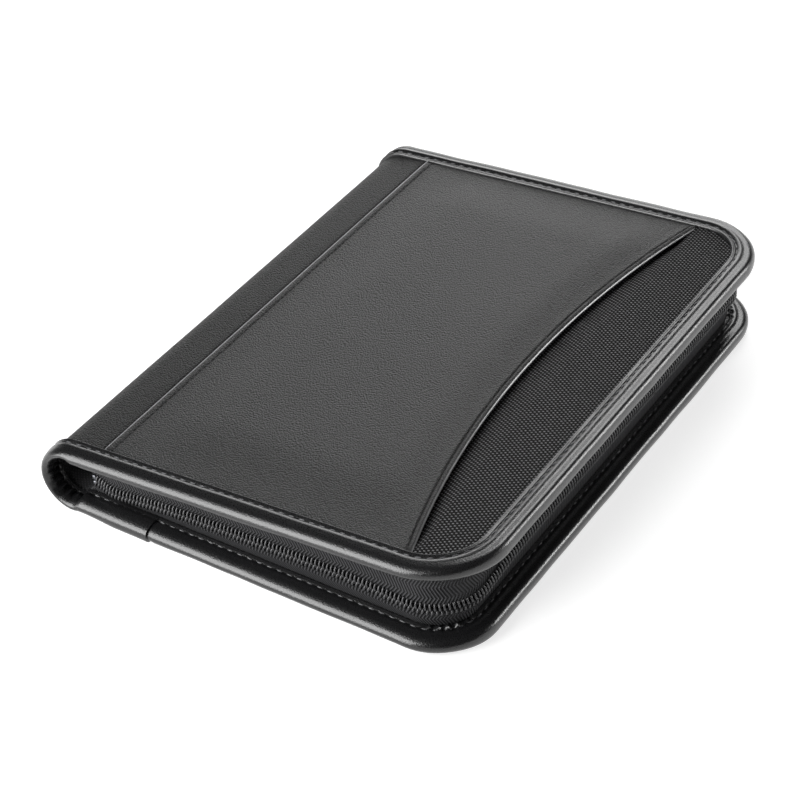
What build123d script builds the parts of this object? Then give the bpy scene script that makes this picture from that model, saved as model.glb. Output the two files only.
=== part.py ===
from build123d import *
import os
from math import cos, degrees, pi, radians, sin

# A zippered padfolio lying closed: spine towards -X, fore edge towards +X, +Y along the spine.
# Both covers and the spine are measured from one line, the centre of the rounded spine.

# Overall size, in millimetres and degrees
WIDTH = 180.0
LENGTH = 240.0
SPINE_RADIUS = 14.0
WEDGE_ANGLE = 4.0
FRONT_OVERHANG = 3.0
BACK_CORNER = 24.0
FRONT_CORNER = 28.0

# Layers of a cover, from the outside in
BINDING_LEATHER = 0.7
LEATHER = 1.0
NYLON = 0.6
FOAM = 2.0
BOARD = 1.4
LINING = 0.6
SPINE_PADDING = 2.0
BOARD_START = 3.0

# Binding that wraps the cut edges
BINDING_WIDTH = 9.0
BINDING_EDGE = 1.2
EDGE_ROUND = 3.0
SPINE_EDGE_ROUND = 2.0
SPINE_EDGE_EASE = 1.2
LAYER_FIT = 0.1

# Seams and slash pocket of the covers
SEAM_OFFSET = 15.0
HEM_WIDTH = 5.0
HEM_RISE = 0.6
POCKET_RADIUS = 386.0
POCKET_FROM_EDGE = 45.0
POCKET_SKEW = 7.0
POCKET_UNDERLAP = 24.0
POCKET_EDGE_WIDTH = 4.0

# Gap between the spine's strip and a cover's leather at each of the two folds
FOLD_GAP = 0.46

# Zip: tapes, coils and stops
ZIP_INSET = 10.6
ZIP_CORNER = 14.0
ZIP_START = 4.0
TAPE = 0.6
TAPE_GAP = 2.4
TAPE_FLANGE = 6.0
FLANGE_THICKNESS = 0.5
FLANGE_OUTSIDE = 0.9
COIL_HEIGHT = 2.9
COIL_DEPTH = 1.7
COIL_CORE = 0.5
COIL_GAP = 0.3
COIL_LEAD = 2.2
TOOTH_PITCH = 1.6
TOOTH_FLAT = 0.8
STOP_LENGTH = 1.6
STOP_HEIGHT = 1.9
CORNER_STEPS = 8

# Zip slider, its bridge and pull
SLIDER_LENGTH = 12.0
SLIDER_PLATE = 1.2
SLIDER_FLANGE = 1.1
SLIDER_CLEARANCE = 0.35
SLIDER_TAIL = 7.6
SLIDER_PARK = 10.0
POST_LENGTH = 3.0
POST_WIDTH = 1.6
BRIDGE_LENGTH = 6.4
BRIDGE_WIDTH = 2.0
BRIDGE_WALL = 0.9
PIN_RADIUS = 0.7
PIN_CLEARANCE = 0.4
PULL_LENGTH = 24.0
PULL_WIDTH = 8.0
PULL_NECK = 5.0
PULL_HOLE_RADIUS = 1.6

# Writing pad and its pocket
PAD_FROM_SPINE = 14.0
PAD_FORE_ROOM = 8.7
PAD_SIDE_ROOM = 2.2
PAD_SHEETS = 7.2
PAD_CARD = 0.8
PAD_HEADER = 24.0
PAD_TAPE = 0.4
PAD_POCKET = 0.8
PAD_POCKET_LENGTH = 150.0
PAD_POCKET_MARGIN = 1.4

# Pen loop beside the pad
PEN_BORE = 5.0
PEN_LOOP_WALL = 0.8
PEN_LOOP_LENGTH = 26.0
PEN_LOOP_FROM_HEAD = 56.5
PEN_LOOP_TAB = 0.4
PEN_LOOP_FROM_SPINE = 6.6

# Pockets inside the front cover
DOCUMENT_POCKET = 0.8
DOCUMENT_POCKET_TOP = 30.0
DOCUMENT_POCKET_MARGIN = 1.6
CARD_SLOT = 0.6
CARD_SLOT_COUNT = 3
CARD_SLOT_WIDTH = 100.0
CARD_SLOT_LENGTH = 100.0
CARD_SLOT_STEP = 20.0
CARD_SLOT_FROM_SPINE = 8.0
CARD_SLOT_FROM_END = 9.8

half = LENGTH / 2
cover_reach = WIDTH - SPINE_RADIUS
front_reach = cover_reach + FRONT_OVERHANG

# Distances of the layer faces from the spine's centre line
face_out = SPINE_RADIUS
leather_out = face_out - BINDING_LEATHER
leather_in = leather_out - LEATHER
nylon_in = leather_in - NYLON
foam_in = leather_in - FOAM
board_in = foam_in - BOARD
lining_in = board_in - LINING
face_in = lining_in - BINDING_LEATHER
spine_lining_in = leather_in - SPINE_PADDING
spine_face_in = spine_lining_in - BINDING_LEATHER
layer_inset = BINDING_EDGE + LAYER_FIT

# Two folds share the turn from flat to closed, and each body stops half a gap short of a fold
wedge = radians(WEDGE_ANGLE)
fold_angle = (180 - WEDGE_ANGLE) / 2
gap_angle = degrees(FOLD_GAP / 2 / SPINE_RADIUS)
cover_arc = fold_angle / 2 - gap_angle

# The origin lies under the middle of the closed folio, where the tilted front reaches furthest
front_end = (
    (front_reach - EDGE_ROUND) * cos(wedge) - (face_in + EDGE_ROUND) * sin(wedge) + EDGE_ROUND
)
spine_x = (SPINE_RADIUS - max(cover_reach, front_end)) / 2
spine_centre = (spine_x, 0, SPINE_RADIUS)
back_place = Plane(spine_centre, x_dir=(1, 0, 0), z_dir=(0, 0, -1)).location
front_place = Plane(
    spine_centre, x_dir=(cos(wedge), 0, sin(wedge)), z_dir=(-sin(wedge), 0, cos(wedge))
).location
zip_place = Plane(
    spine_centre,
    x_dir=(cos(wedge / 2), 0, sin(wedge / 2)),
    z_dir=(-sin(wedge / 2), 0, cos(wedge / 2)),
).location


def block(x_span, y_span, z_span):
    """A box between two values on each axis."""
    sizes = [span[1] - span[0] for span in (x_span, y_span, z_span)]
    low = (x_span[0], y_span[0], z_span[0])
    return Pos(*low) * Box(*sizes, align=(Align.MIN, Align.MIN, Align.MIN))


def plate(reach, corner, inset, start, low, high):
    """A cover layer: square at the spine, rounded at the fore edge."""
    outline = Pos(start, 0) * Rectangle(
        reach - inset - start, 2 * (half - inset), align=(Align.MIN, Align.CENTER)
    )
    corners = outline.vertices().sort_by(Axis.X)[-2:]
    outline = fillet(corners, corner - inset)
    return Pos(0, 0, low) * extrude(outline, high - low)


def on_arc(radius, angle):
    """A point of the rounded spine, turned from where the cover's flat ends."""
    return Vector(-radius * sin(radians(angle)), 0, radius * cos(radians(angle)))


def spine_shell(inner, outer, first, last, flat, y_span):
    """A curved strip of the spine between two angles, with a flat run on into the cover."""
    middle = (first + last) / 2
    edges = [
        ThreePointArc(on_arc(outer, first), on_arc(outer, middle), on_arc(outer, last)),
        Line(on_arc(outer, last), on_arc(inner, last)),
        ThreePointArc(on_arc(inner, last), on_arc(inner, middle), on_arc(inner, first)),
    ]
    if flat:
        edges.append(
            Polyline(
                on_arc(inner, first), (flat, 0, inner), (flat, 0, outer), on_arc(outer, first)
            )
        )
    else:
        edges.append(Line(on_arc(inner, first), on_arc(outer, first)))
    section = Face(Wire([edge for run in edges for edge in run.edges()]))
    return extrude(Pos(0, y_span[0], 0) * section, y_span[1] - y_span[0], dir=(0, 1, 0))


def spine_end_edges(rim, radius):
    """The edges that run along a strip's +Y end at one distance from the spine's centre."""

    def runs_along(edge):
        middle = edge @ 0.5
        away = middle.Z if middle.X > 0 else Vector(middle.X, 0, middle.Z).length
        return abs(away - radius) < LAYER_FIT and abs((edge % 0.5).Y) < LAYER_FIT

    return rim.faces().sort_by(Axis.Y)[-1].edges().filter_by(runs_along)


def spine_binding(first, last, flat):
    """The binding that loops over one end of the spine, with a channel for the layers."""
    rim = spine_shell(spine_face_in, face_out, first, last, flat, (half - BINDING_WIDTH, half))
    rim = fillet(spine_end_edges(rim, face_out), SPINE_EDGE_ROUND)
    rim = chamfer(spine_end_edges(rim, spine_face_in), SPINE_EDGE_EASE)
    channel = (half - BINDING_WIDTH, half - BINDING_EDGE)
    return rim - spine_shell(spine_lining_in, leather_out, first, last, flat, channel)


def both_ends(solid):
    return solid + mirror(solid, about=Plane.XZ)


def cover_binding(reach, corner):
    """The rolled binding round three sides of a cover and on to the first fold."""
    rim = plate(reach, corner, 0, BOARD_START, face_in, face_out)
    flat_faces = rim.faces().filter_by(Axis.Z)
    rolled = flat_faces.edges().filter_by(lambda edge: edge.center().X > BOARD_START + LAYER_FIT)
    rim = fillet(rolled, EDGE_ROUND)
    before = BOARD_START - BINDING_EDGE
    rim -= plate(reach, corner, BINDING_EDGE, before, lining_in, leather_out)
    rim -= plate(reach, corner, BINDING_WIDTH, before, face_in, face_out)
    return rim + both_ends(spine_binding(0, cover_arc, BOARD_START))


def cover_lining(reach, corner):
    """The lining: flat on the board, over its edge, then padded round to the first fold."""
    width = (layer_inset - half, half - layer_inset)
    start = BOARD_START - LINING
    sheet = plate(reach, corner, layer_inset, BOARD_START, lining_in, board_in)
    step_half = half - BINDING_WIDTH - LAYER_FIT
    step = block((start, BOARD_START), (-step_half, step_half), (lining_in, leather_in))
    turn = spine_shell(spine_lining_in, leather_in, 0, cover_arc, BOARD_START, width)
    return sheet + step + turn


def spine_wrap():
    """The leather strip that comes round the spine and runs under the cover's seam."""
    width = (layer_inset - half, half - layer_inset)
    return spine_shell(leather_in, leather_out, 0, cover_arc, SEAM_OFFSET, width)


def cover_leather(reach, corner):
    """The leather of a cover, with its folded hem along the spine seam."""
    sheet = plate(reach, corner, layer_inset, SEAM_OFFSET, leather_in, leather_out)
    hem_half = half - BINDING_WIDTH - LAYER_FIT
    hem = block(
        (SEAM_OFFSET, SEAM_OFFSET + HEM_WIDTH),
        (-hem_half, hem_half),
        (leather_out, leather_out + HEM_RISE),
    )
    return sheet + hem


# Slash pocket: the front leather stops at an arc, over a nylon panel
pocket_middle = front_reach - POCKET_FROM_EDGE
pocket_centre = (pocket_middle + POCKET_RADIUS, POCKET_SKEW)
pocket_back = pocket_middle - POCKET_UNDERLAP


def pocket_disc(radius, low, high):
    return Pos(*pocket_centre, low) * Cylinder(
        radius, high - low, align=(Align.CENTER, Align.CENTER, Align.MIN)
    )


def pocket_hem():
    """The raised, folded edge along the pocket's mouth."""
    top = leather_out + HEM_RISE
    window = plate(
        front_reach, FRONT_CORNER, BINDING_WIDTH + LAYER_FIT, SEAM_OFFSET, leather_out, top
    )
    ring = pocket_disc(POCKET_RADIUS + POCKET_EDGE_WIDTH, leather_out, top)
    ring -= pocket_disc(POCKET_RADIUS, leather_out, top)
    return window & ring


def pocket_panel():
    """The nylon behind the pocket, with its edge turned up under the binding."""
    sheet = plate(front_reach, FRONT_CORNER, layer_inset, pocket_back, nylon_in, leather_in)
    turned = plate(front_reach, FRONT_CORNER, layer_inset, pocket_back, leather_in, leather_out)
    turned -= plate(
        front_reach,
        FRONT_CORNER,
        BINDING_WIDTH - LAYER_FIT,
        pocket_back - BINDING_WIDTH,
        leather_in,
        leather_out,
    )
    turned &= pocket_disc(POCKET_RADIUS - LAYER_FIT, leather_in, leather_out)
    return sheet + turned


# Zip: one path in the plane midway between the covers
zip_side = half - ZIP_INSET
zip_fore = cover_reach - ZIP_INSET
near_run = zip_fore - ZIP_CORNER - ZIP_START
corner_run = ZIP_CORNER * pi / 2
fore_run = 2 * (zip_side - ZIP_CORNER)


def zip_point(distance, offset):
    """A point at a distance along the zip, and at an offset outward from its tape."""
    if distance <= near_run:
        return (ZIP_START + distance, -zip_side - offset)
    distance -= near_run
    if distance <= corner_run:
        return corner_point(-1, distance / ZIP_CORNER - pi / 2, offset)
    distance -= corner_run
    if distance <= fore_run:
        return (zip_fore + offset, ZIP_CORNER - zip_side + distance)
    distance -= fore_run
    if distance <= corner_run:
        return corner_point(1, distance / ZIP_CORNER, offset)
    distance -= corner_run
    return (zip_fore - ZIP_CORNER - distance, zip_side + offset)


def corner_point(side, angle, offset):
    radius = ZIP_CORNER + offset
    return (
        zip_fore - ZIP_CORNER + radius * cos(angle),
        side * (zip_side - ZIP_CORNER) + radius * sin(angle),
    )


def zip_line(offset, start, finish):
    """The zip's path at an offset, with its corners in equal steps."""
    turns = [step * pi / 2 / CORNER_STEPS for step in range(CORNER_STEPS + 1)]
    line = [(start, -zip_side - offset)]
    line += [corner_point(-1, turn - pi / 2, offset) for turn in turns]
    line += [corner_point(1, turn, offset) for turn in turns]
    return line + [(finish, zip_side + offset)]


def zip_band(inner, outer, low, high):
    outline = zip_line(outer, ZIP_START, ZIP_START) + zip_line(inner, ZIP_START, ZIP_START)[::-1]
    return Pos(0, 0, low) * extrude(make_face(Polyline(*outline, close=True)), high - low)


def zip_tape(place, side):
    """A tape: a flange sewn to the lining and a wall that stands up to the coil."""
    rise = lining_in + front_reach * sin(wedge)
    if side > 0:
        wall = zip_band(-TAPE / 2, TAPE / 2, TAPE_GAP / 2, rise)
    else:
        wall = zip_band(-TAPE / 2, TAPE / 2, -rise, -TAPE_GAP / 2)
    room = block((0, front_reach), (-half, half), (-rise, lining_in))
    wall = (zip_place * wall) & (place * room)
    flange = zip_band(
        TAPE / 2 - TAPE_FLANGE, TAPE / 2 + FLANGE_OUTSIDE, lining_in - FLANGE_THICKNESS, lining_in
    )
    return wall + place * flange


slider_at = ZIP_START + SLIDER_PARK
coil_end = slider_at - SLIDER_LENGTH / 2 + POST_LENGTH + 2 * SLIDER_CLEARANCE
coil_start = ZIP_START + COIL_LEAD


def zip_coil(side):
    """One coil: a core along the tape's edge with a tooth at every pitch."""
    first = COIL_LEAD + (TOOTH_PITCH / 2 if side > 0 else 0)
    run = near_run + 2 * corner_run + fore_run + zip_fore - ZIP_CORNER - coil_end
    count = int((run - first) / TOOTH_PITCH)
    base = TAPE / 2 + COIL_CORE
    top = TAPE / 2 + COIL_DEPTH
    lead = (TOOTH_PITCH - TOOTH_FLAT) / 2
    outline = []
    for tooth in range(count):
        at = first + tooth * TOOTH_PITCH
        outline.append(zip_point(at, base))
        outline.append(zip_point(at + lead, top))
        outline.append(zip_point(at + lead + TOOTH_FLAT, top))
    last = first + count * TOOTH_PITCH
    outline.append(zip_point(last, base))
    back = zip_line(TAPE / 2, zip_point(first, 0)[0], zip_point(last, 0)[0])[::-1]
    comb = extrude(make_face(Polyline(*outline, *back, close=True)), COIL_HEIGHT)
    low = COIL_GAP / 2 if side > 0 else -COIL_GAP / 2 - COIL_HEIGHT
    return zip_place * (Pos(0, 0, low) * comb)


def zip_stops(side):
    """The stops at both ends of one tape."""
    low = TAPE_GAP / 2
    heights = sorted((side * low, side * (low + STOP_HEIGHT)))
    depth = (TAPE / 2, TAPE / 2 + COIL_DEPTH)
    near = coil_start - SLIDER_CLEARANCE
    far = slider_at - SLIDER_LENGTH / 2 - SLIDER_CLEARANCE
    first = block(
        (near - STOP_LENGTH, near), (-zip_side - depth[1], -zip_side - depth[0]), heights
    )
    last = block(
        (far - STOP_LENGTH, far), (zip_side + depth[0], zip_side + depth[1]), heights
    )
    return zip_place * (first + last)


# Slider: two plates held apart by a post, with flanges round the coils
slider_place = zip_place * Pos(slider_at, zip_side, 0)
slider_half = COIL_GAP / 2 + COIL_HEIGHT + SLIDER_CLEARANCE + SLIDER_FLANGE
inner_face = -TAPE / 2 - SLIDER_CLEARANCE
outer_face = TAPE / 2 + COIL_DEPTH + SLIDER_CLEARANCE
outer_top = outer_face + SLIDER_PLATE
pin_height = outer_top + PIN_CLEARANCE + PIN_RADIUS


def slider_plate(low, high, width):
    """A plate of the slider, narrowed to a tail where the closed chain leaves it."""
    nose = -SLIDER_LENGTH / 2
    tail = SLIDER_LENGTH / 2
    outline = Polyline(
        (nose, width / 2),
        (0, width / 2),
        (tail, min(SLIDER_TAIL, width) / 2),
        (tail, -min(SLIDER_TAIL, width) / 2),
        (0, -width / 2),
        (nose, -width / 2),
        close=True,
    )
    solid = extrude(make_face(outline), high - low)
    return Pos(0, high, 0) * Rot(90, 0, 0) * solid


def slider_body():
    plates = slider_plate(outer_face, outer_top, 2 * slider_half)
    plates += slider_plate(inner_face - SLIDER_PLATE, inner_face, 2 * slider_half)
    nose = -SLIDER_LENGTH / 2
    flange_low = slider_half - SLIDER_FLANGE
    flange_depth = (TAPE / 2 + SLIDER_CLEARANCE, outer_face)
    upper = block((nose, 0), flange_depth, (flange_low, slider_half))
    lower = block((nose, 0), flange_depth, (-slider_half, -flange_low))
    post = block(
        (nose, nose + POST_LENGTH), (inner_face, outer_face), (-POST_WIDTH / 2, POST_WIDTH / 2)
    )
    return plates + upper + lower + post


def slider_bridge():
    """The arch over the slider that the pull hangs from."""
    opening = pin_height + PIN_RADIUS + PIN_CLEARANCE
    width = (-BRIDGE_WIDTH / 2, BRIDGE_WIDTH / 2)
    reach = BRIDGE_LENGTH / 2
    arch = block((-reach, reach), (outer_top, opening + BRIDGE_WALL), width)
    corners = arch.edges().filter_by(Axis.Z).group_by(Axis.Y)[-1]
    arch = fillet(corners, BRIDGE_WALL)
    return arch - block(
        (BRIDGE_WALL - reach, reach - BRIDGE_WALL), (outer_top, opening), width
    )


def zip_pull():
    """The pull: a pin under the bridge, two arms past it and a flat tab with a hole."""
    arm_in = BRIDGE_WIDTH / 2 + PIN_CLEARANCE
    outer = PULL_WIDTH / 2
    pin = Cylinder(PIN_RADIUS, PULL_WIDTH)
    tab_end = PULL_NECK + PULL_LENGTH
    tab = block((0, tab_end), (-PIN_RADIUS, PIN_RADIUS), (-outer, outer))
    tab = fillet(tab.edges().filter_by(Axis.Y).group_by(Axis.X)[-1], PULL_WIDTH / 3)
    tab -= block(
        (-PIN_RADIUS, PULL_NECK), (-PIN_RADIUS, PIN_RADIUS), (-arm_in, arm_in)
    )
    hole_at = tab_end - PULL_WIDTH / 2
    tab -= Pos(hole_at, 0, 0) * Rot(90, 0, 0) * Cylinder(PULL_HOLE_RADIUS, 4 * PIN_RADIUS)
    return Pos(0, pin_height, 0) * (tab + pin)


# Inside of the back cover: pad, its pocket and the pen loop, stacked up from the lining
# The pad is cut to the room inside the zip's sewn flange: here 127 by 203, a 5 by 8 inch pad
flange_edge = TAPE / 2 - TAPE_FLANGE
pad_side = zip_side + flange_edge - PAD_SIDE_ROOM
pad_span = (PAD_FROM_SPINE, zip_fore + flange_edge - PAD_FORE_ROOM)
card_in = lining_in - PAD_CARD
pocket_in = card_in - PAD_POCKET
sheets_in = pocket_in - PAD_SHEETS
pen_loop_centre = pad_side - PEN_LOOP_FROM_HEAD


def inside_back(x_span, y_span, z_span):
    """A block on the back cover's inside, given by its place along the spine."""
    return back_place * block(x_span, (-y_span[1], -y_span[0]), z_span)


def pad_header():
    """The taped head of the pad, which clasps the sheets."""
    return inside_back(
        pad_span, (pad_side - PAD_HEADER, pad_side), (sheets_in - PAD_TAPE, card_in)
    )


def pad_pocket():
    """The sleeve over the card, wider than the pad so that it can be sewn down."""
    margin = PAD_POCKET_MARGIN
    span = (pad_span[0] - margin, pad_span[1] + margin)
    low = -pad_side - margin
    cover = inside_back(span, (low, low + PAD_POCKET_LENGTH), (pocket_in, lining_in))
    return cover - inside_back(
        pad_span, (-pad_side, low + PAD_POCKET_LENGTH), (card_in, lining_in)
    )


def pen_loop():
    """An elastic loop on a sewn tab."""
    outer = PEN_BORE + PEN_LOOP_WALL
    tube = Cylinder(outer, PEN_LOOP_LENGTH) - Cylinder(PEN_BORE, PEN_LOOP_LENGTH)
    at = Pos(PEN_LOOP_FROM_SPINE, -pen_loop_centre, lining_in - outer)
    tube = at * Rot(90, 0, 0) * tube
    reach = PEN_LOOP_LENGTH / 2
    tab = block(
        (BOARD_START, PEN_LOOP_FROM_SPINE + outer),
        (-pen_loop_centre - reach, reach - pen_loop_centre),
        (lining_in - PEN_LOOP_TAB, lining_in),
    )
    bore = at * Rot(90, 0, 0) * Cylinder(PEN_BORE, PEN_LOOP_LENGTH)
    return back_place * (tube + tab - bore)


# Inside of the front cover: a document pocket with card slots in steps on top of it
document_in = lining_in - DOCUMENT_POCKET
flange_inside = ZIP_INSET + TAPE_FLANGE + DOCUMENT_POCKET_MARGIN
document_end = flange_inside - half


def document_pocket():
    """The document pocket, rounded to lie inside the zip's corner."""
    pocket = block(
        (PAD_FROM_SPINE, cover_reach - flange_inside),
        (document_end, DOCUMENT_POCKET_TOP),
        (document_in, lining_in),
    )
    corner = pocket.edges().filter_by(Axis.Z).sort_by(Axis.Y)[:2].sort_by(Axis.X)[-1]
    return front_place * fillet(corner, ZIP_CORNER - TAPE_FLANGE - DOCUMENT_POCKET_MARGIN)


def card_slot(tier):
    side = PAD_FROM_SPINE + CARD_SLOT_FROM_SPINE
    low = document_end + CARD_SLOT_FROM_END
    face = document_in - tier * CARD_SLOT
    return front_place * block(
        (side, side + CARD_SLOT_WIDTH),
        (low, low + CARD_SLOT_LENGTH - tier * CARD_SLOT_STEP),
        (face - CARD_SLOT, face),
    )


nodes = {
    "back_binding": back_place * cover_binding(cover_reach, BACK_CORNER),
    "back_spine_wrap": back_place * spine_wrap(),
    "back_leather": back_place * cover_leather(cover_reach, BACK_CORNER),
    "back_foam": back_place
    * plate(cover_reach, BACK_CORNER, layer_inset, BOARD_START, foam_in, leather_in),
    "back_board": back_place
    * plate(cover_reach, BACK_CORNER, layer_inset, BOARD_START, board_in, foam_in),
    "back_lining": back_place * cover_lining(cover_reach, BACK_CORNER),
    "front_binding": front_place * cover_binding(front_reach, FRONT_CORNER),
    "front_spine_wrap": front_place * spine_wrap(),
    "front_leather": front_place
    * (
        cover_leather(front_reach, FRONT_CORNER)
        - pocket_disc(POCKET_RADIUS, leather_in, leather_out)
    ),
    "front_pocket_hem": front_place * pocket_hem(),
    "front_pocket_nylon": front_place * pocket_panel(),
    "front_interlining": front_place
    * block(
        (BOARD_START, pocket_back), (layer_inset - half, half - layer_inset), (nylon_in, leather_in)
    ),
    "front_foam": front_place
    * plate(front_reach, FRONT_CORNER, layer_inset, BOARD_START, foam_in, nylon_in),
    "front_board": front_place
    * plate(front_reach, FRONT_CORNER, layer_inset, BOARD_START, board_in, foam_in),
    "front_lining": front_place * cover_lining(front_reach, FRONT_CORNER),
    "back_zip_tape": zip_tape(back_place, -1),
    "front_zip_tape": zip_tape(front_place, 1),
    "back_zip_coil": zip_coil(-1),
    "front_zip_coil": zip_coil(1),
    "back_zip_stops": zip_stops(-1),
    "front_zip_stops": zip_stops(1),
    "zip_slider_body": slider_place * slider_body(),
    "zip_slider_bridge": slider_place * slider_bridge(),
    "zip_pull": slider_place * zip_pull(),
    "pad_card": inside_back(pad_span, (-pad_side, pad_side), (card_in, lining_in)),
    "pad_sheets": inside_back(
        pad_span, (-pad_side, pad_side - PAD_HEADER), (sheets_in, pocket_in)
    ),
    "pad_header": pad_header(),
    "pad_pocket": pad_pocket(),
    "pen_loop": pen_loop(),
    "document_pocket": document_pocket(),
}

# The spine's strip lies between the two folds
strip_start = fold_angle / 2 + gap_angle
strip_end = fold_angle * 3 / 2 - gap_angle
strip_width = (layer_inset - half, half - layer_inset)
nodes["spine_leather"] = back_place * spine_shell(
    leather_in, leather_out, strip_start, strip_end, 0, strip_width
)
nodes["spine_lining"] = back_place * spine_shell(
    spine_lining_in, leather_in, strip_start, strip_end, 0, strip_width
)
nodes["spine_binding"] = back_place * both_ends(spine_binding(strip_start, strip_end, 0))

for tier in range(CARD_SLOT_COUNT):
    nodes["card_slot_" + str(tier + 1)] = card_slot(tier)

os.makedirs("parts", exist_ok=True)
for name, solid in nodes.items():
    export_step(solid, "parts/" + name + ".step")

# Fold lines on the spine's outer face, for whoever joins the bodies
for name, share in (("back", 0.5), ("front", 1.5)):
    turn = radians(fold_angle * share)
    x = spine_x - SPINE_RADIUS * sin(turn)
    z = SPINE_RADIUS - SPINE_RADIUS * cos(turn)
    print(name, "fold at x", round(x, 4), "z", round(z, 4))
pin_at = slider_place * Pos(0, pin_height, 0)
print("fold angle", round(fold_angle, 4), "pin", pin_at.position, "spine x", round(spine_x, 4))
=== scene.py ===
"""Looks of a zippered padfolio, built around its CAD frame.

Grained leather covers with rolled, stitched bindings, a slash pocket over woven nylon, a coil zip
round three sides, and the writing pad, pockets and linings that show when it is open.
"""

from math import ceil, copysign, cos, exp, hypot, pi, radians, sin, sqrt

import bmesh
import bpy
from mathutils import Matrix, Vector, noise


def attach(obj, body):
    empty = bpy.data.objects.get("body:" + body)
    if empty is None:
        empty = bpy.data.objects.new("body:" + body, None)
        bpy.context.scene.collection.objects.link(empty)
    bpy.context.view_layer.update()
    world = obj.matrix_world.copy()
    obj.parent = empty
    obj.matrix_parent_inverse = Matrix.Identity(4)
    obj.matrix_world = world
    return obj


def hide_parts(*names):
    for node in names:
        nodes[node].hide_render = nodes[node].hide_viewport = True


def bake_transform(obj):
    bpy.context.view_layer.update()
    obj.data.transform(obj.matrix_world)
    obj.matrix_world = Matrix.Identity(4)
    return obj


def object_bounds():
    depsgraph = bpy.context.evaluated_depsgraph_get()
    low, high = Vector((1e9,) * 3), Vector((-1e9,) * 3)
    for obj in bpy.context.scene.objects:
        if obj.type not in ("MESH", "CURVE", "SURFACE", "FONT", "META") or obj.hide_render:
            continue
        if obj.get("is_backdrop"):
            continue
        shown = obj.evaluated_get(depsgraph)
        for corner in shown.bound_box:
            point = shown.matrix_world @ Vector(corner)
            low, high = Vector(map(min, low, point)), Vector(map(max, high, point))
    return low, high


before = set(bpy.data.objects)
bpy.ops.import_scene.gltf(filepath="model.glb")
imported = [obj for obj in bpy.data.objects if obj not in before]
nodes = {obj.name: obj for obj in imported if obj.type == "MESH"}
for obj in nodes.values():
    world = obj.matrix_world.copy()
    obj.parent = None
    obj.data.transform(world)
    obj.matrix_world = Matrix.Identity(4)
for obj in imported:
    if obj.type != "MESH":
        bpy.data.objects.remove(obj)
cad_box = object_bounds()

# Frame sizes, repeated from the part in millimetres and radians
MM = 0.001
SPINE_X = -76.9281
SPINE_RADIUS = 14.0
WEDGE = radians(4.0)
TURN = pi - WEDGE
ARC = SPINE_RADIUS * TURN
HALF_LENGTH = 120.0
BACK_REACH = 166.0
FRONT_REACH = 169.0
BACK_CORNER = 24.0
FRONT_CORNER = 28.0

# Layer faces, as distances from the spine's centre line
FACE_OUT = 14.0
LEATHER_OUT = 13.3
LEATHER_IN = 12.3
NYLON_IN = 11.7
BOARD_OUT = 10.3
BOARD_IN = 8.9
LINING_IN = 8.3
SPINE_LINING_IN = 10.3
LEATHER = 1.0
LAYER_GAP = 0.05
COVER_THICKNESS = 6.4
SPINE_THICKNESS = 4.4

# Binding: a strip folded round the edge, stitched near its lip and rolled at the outside
BINDING_WIDTH = 9.0
BINDING_START = 7.0
LIP_ROUND = 0.5
LIP_RISE = 0.75
STITCH_FROM_LIP = 2.1
GROOVE_DEPTH = 0.42
GROOVE_WIDTH = 0.42
RIDGE_FROM_LIP = 3.7
RIDGE_RISE = 0.42
RIDGE_WIDTH = 0.65
VALLEY_FROM_LIP = 5.4
VALLEY_DEPTH = 0.18
VALLEY_WIDTH = 0.8
BEAD_FROM_LIP = 0.5
BEAD_RISE = 0.24
BEAD_WIDTH = 0.4
ROLL_DEPTH = 4.9
FORE_ROLL_DEPTH = 2.8
ROLL_SQUARENESS = 2.0
FORE_SQUARENESS = 2.5
ROLL_STEPS = 9
FLAT_STEPS = 4
END_RIDGE = 0.25
ROLL_WAVER = 0.1
WAVER_LENGTH = 16.0
WAVER_GAIN = 1.6
WAVER_ROW = 0.5
SWELL_FADE = 2.5
PRESS_POWER = 4
PUCKER_LENGTH = 4.6
CORNER_PUCKER = 1.4
CORNER_GATHER = (7.4, 1.6)
SPINE_PUCKER = 0.9
SPINE_GATHER = (5.0, 2.6)
LAP_AT = 34.0
LAP_RISE = 0.45
LAP_PRESS = 0.2
LAP_STEP = 0.15
LAP_FADE = 14.0
PRESS_FADE = 3.0
UNDER_LIP = 2.0

# The lining's step over the edge of a board
BOARD_STEP = 2.4
STEP_ROWS = 5

# Folded, stitched leather edges at the seam and along the pocket's mouth
SEAM_OFFSET = 12.2
SEAM_GAP = 1.3
SEAM_TUCK = 1.05
SPINE_DROP = 0.6
UNDER_SEAM = 3.0
TUCK_STEPS = 10
HEM_STITCH = 2.9
HEM_PUFF = 0.75
HEM_PAST = 0.3
HEM_FADE = 3.5
HEM_ROUND = 0.6
HEM_GROOVE = 0.6
SEAM_GROOVE = 0.2
MOUTH_STITCH = 2.1
MOUTH_LEATHER = 1.0
MOUTH_FOLD = (0.7, 0.22, radians(57.0))
SEAM_FOLD = (0.4, 0.2, radians(20.0))
SEAM_FOLD_IN = 0.25
SEAM_FOLD_TOP = 0.55
POCKET_CENTRE_U = 510.0
POCKET_CENTRE_Y = 7.0
POCKET_RADIUS = 386.0
POCKET_UNDERLAP = 12.0
PANEL_CROWN = 2.3
PANEL_SHOULDER = 32.0
MOUTH_SHOULDER = 18.0
NYLON_OUT = 13.0
NYLON_DROP = 2.6
NYLON_SLOPE = 13.0
NYLON_CREST = 1.5
NYLON_CURL = 1.25
NYLON_DEEPENS = 4.0
NYLON_WAVER = 0.1
PLAIN_INSET = 10
UNDER_INSET = 1
UNDER_MOUTH = (0.3, 3.0, 8.0)
BACK_UNDER = 0.3
WRAP_UNDER = 0.4
ROW_INSET = 1.0

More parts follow.
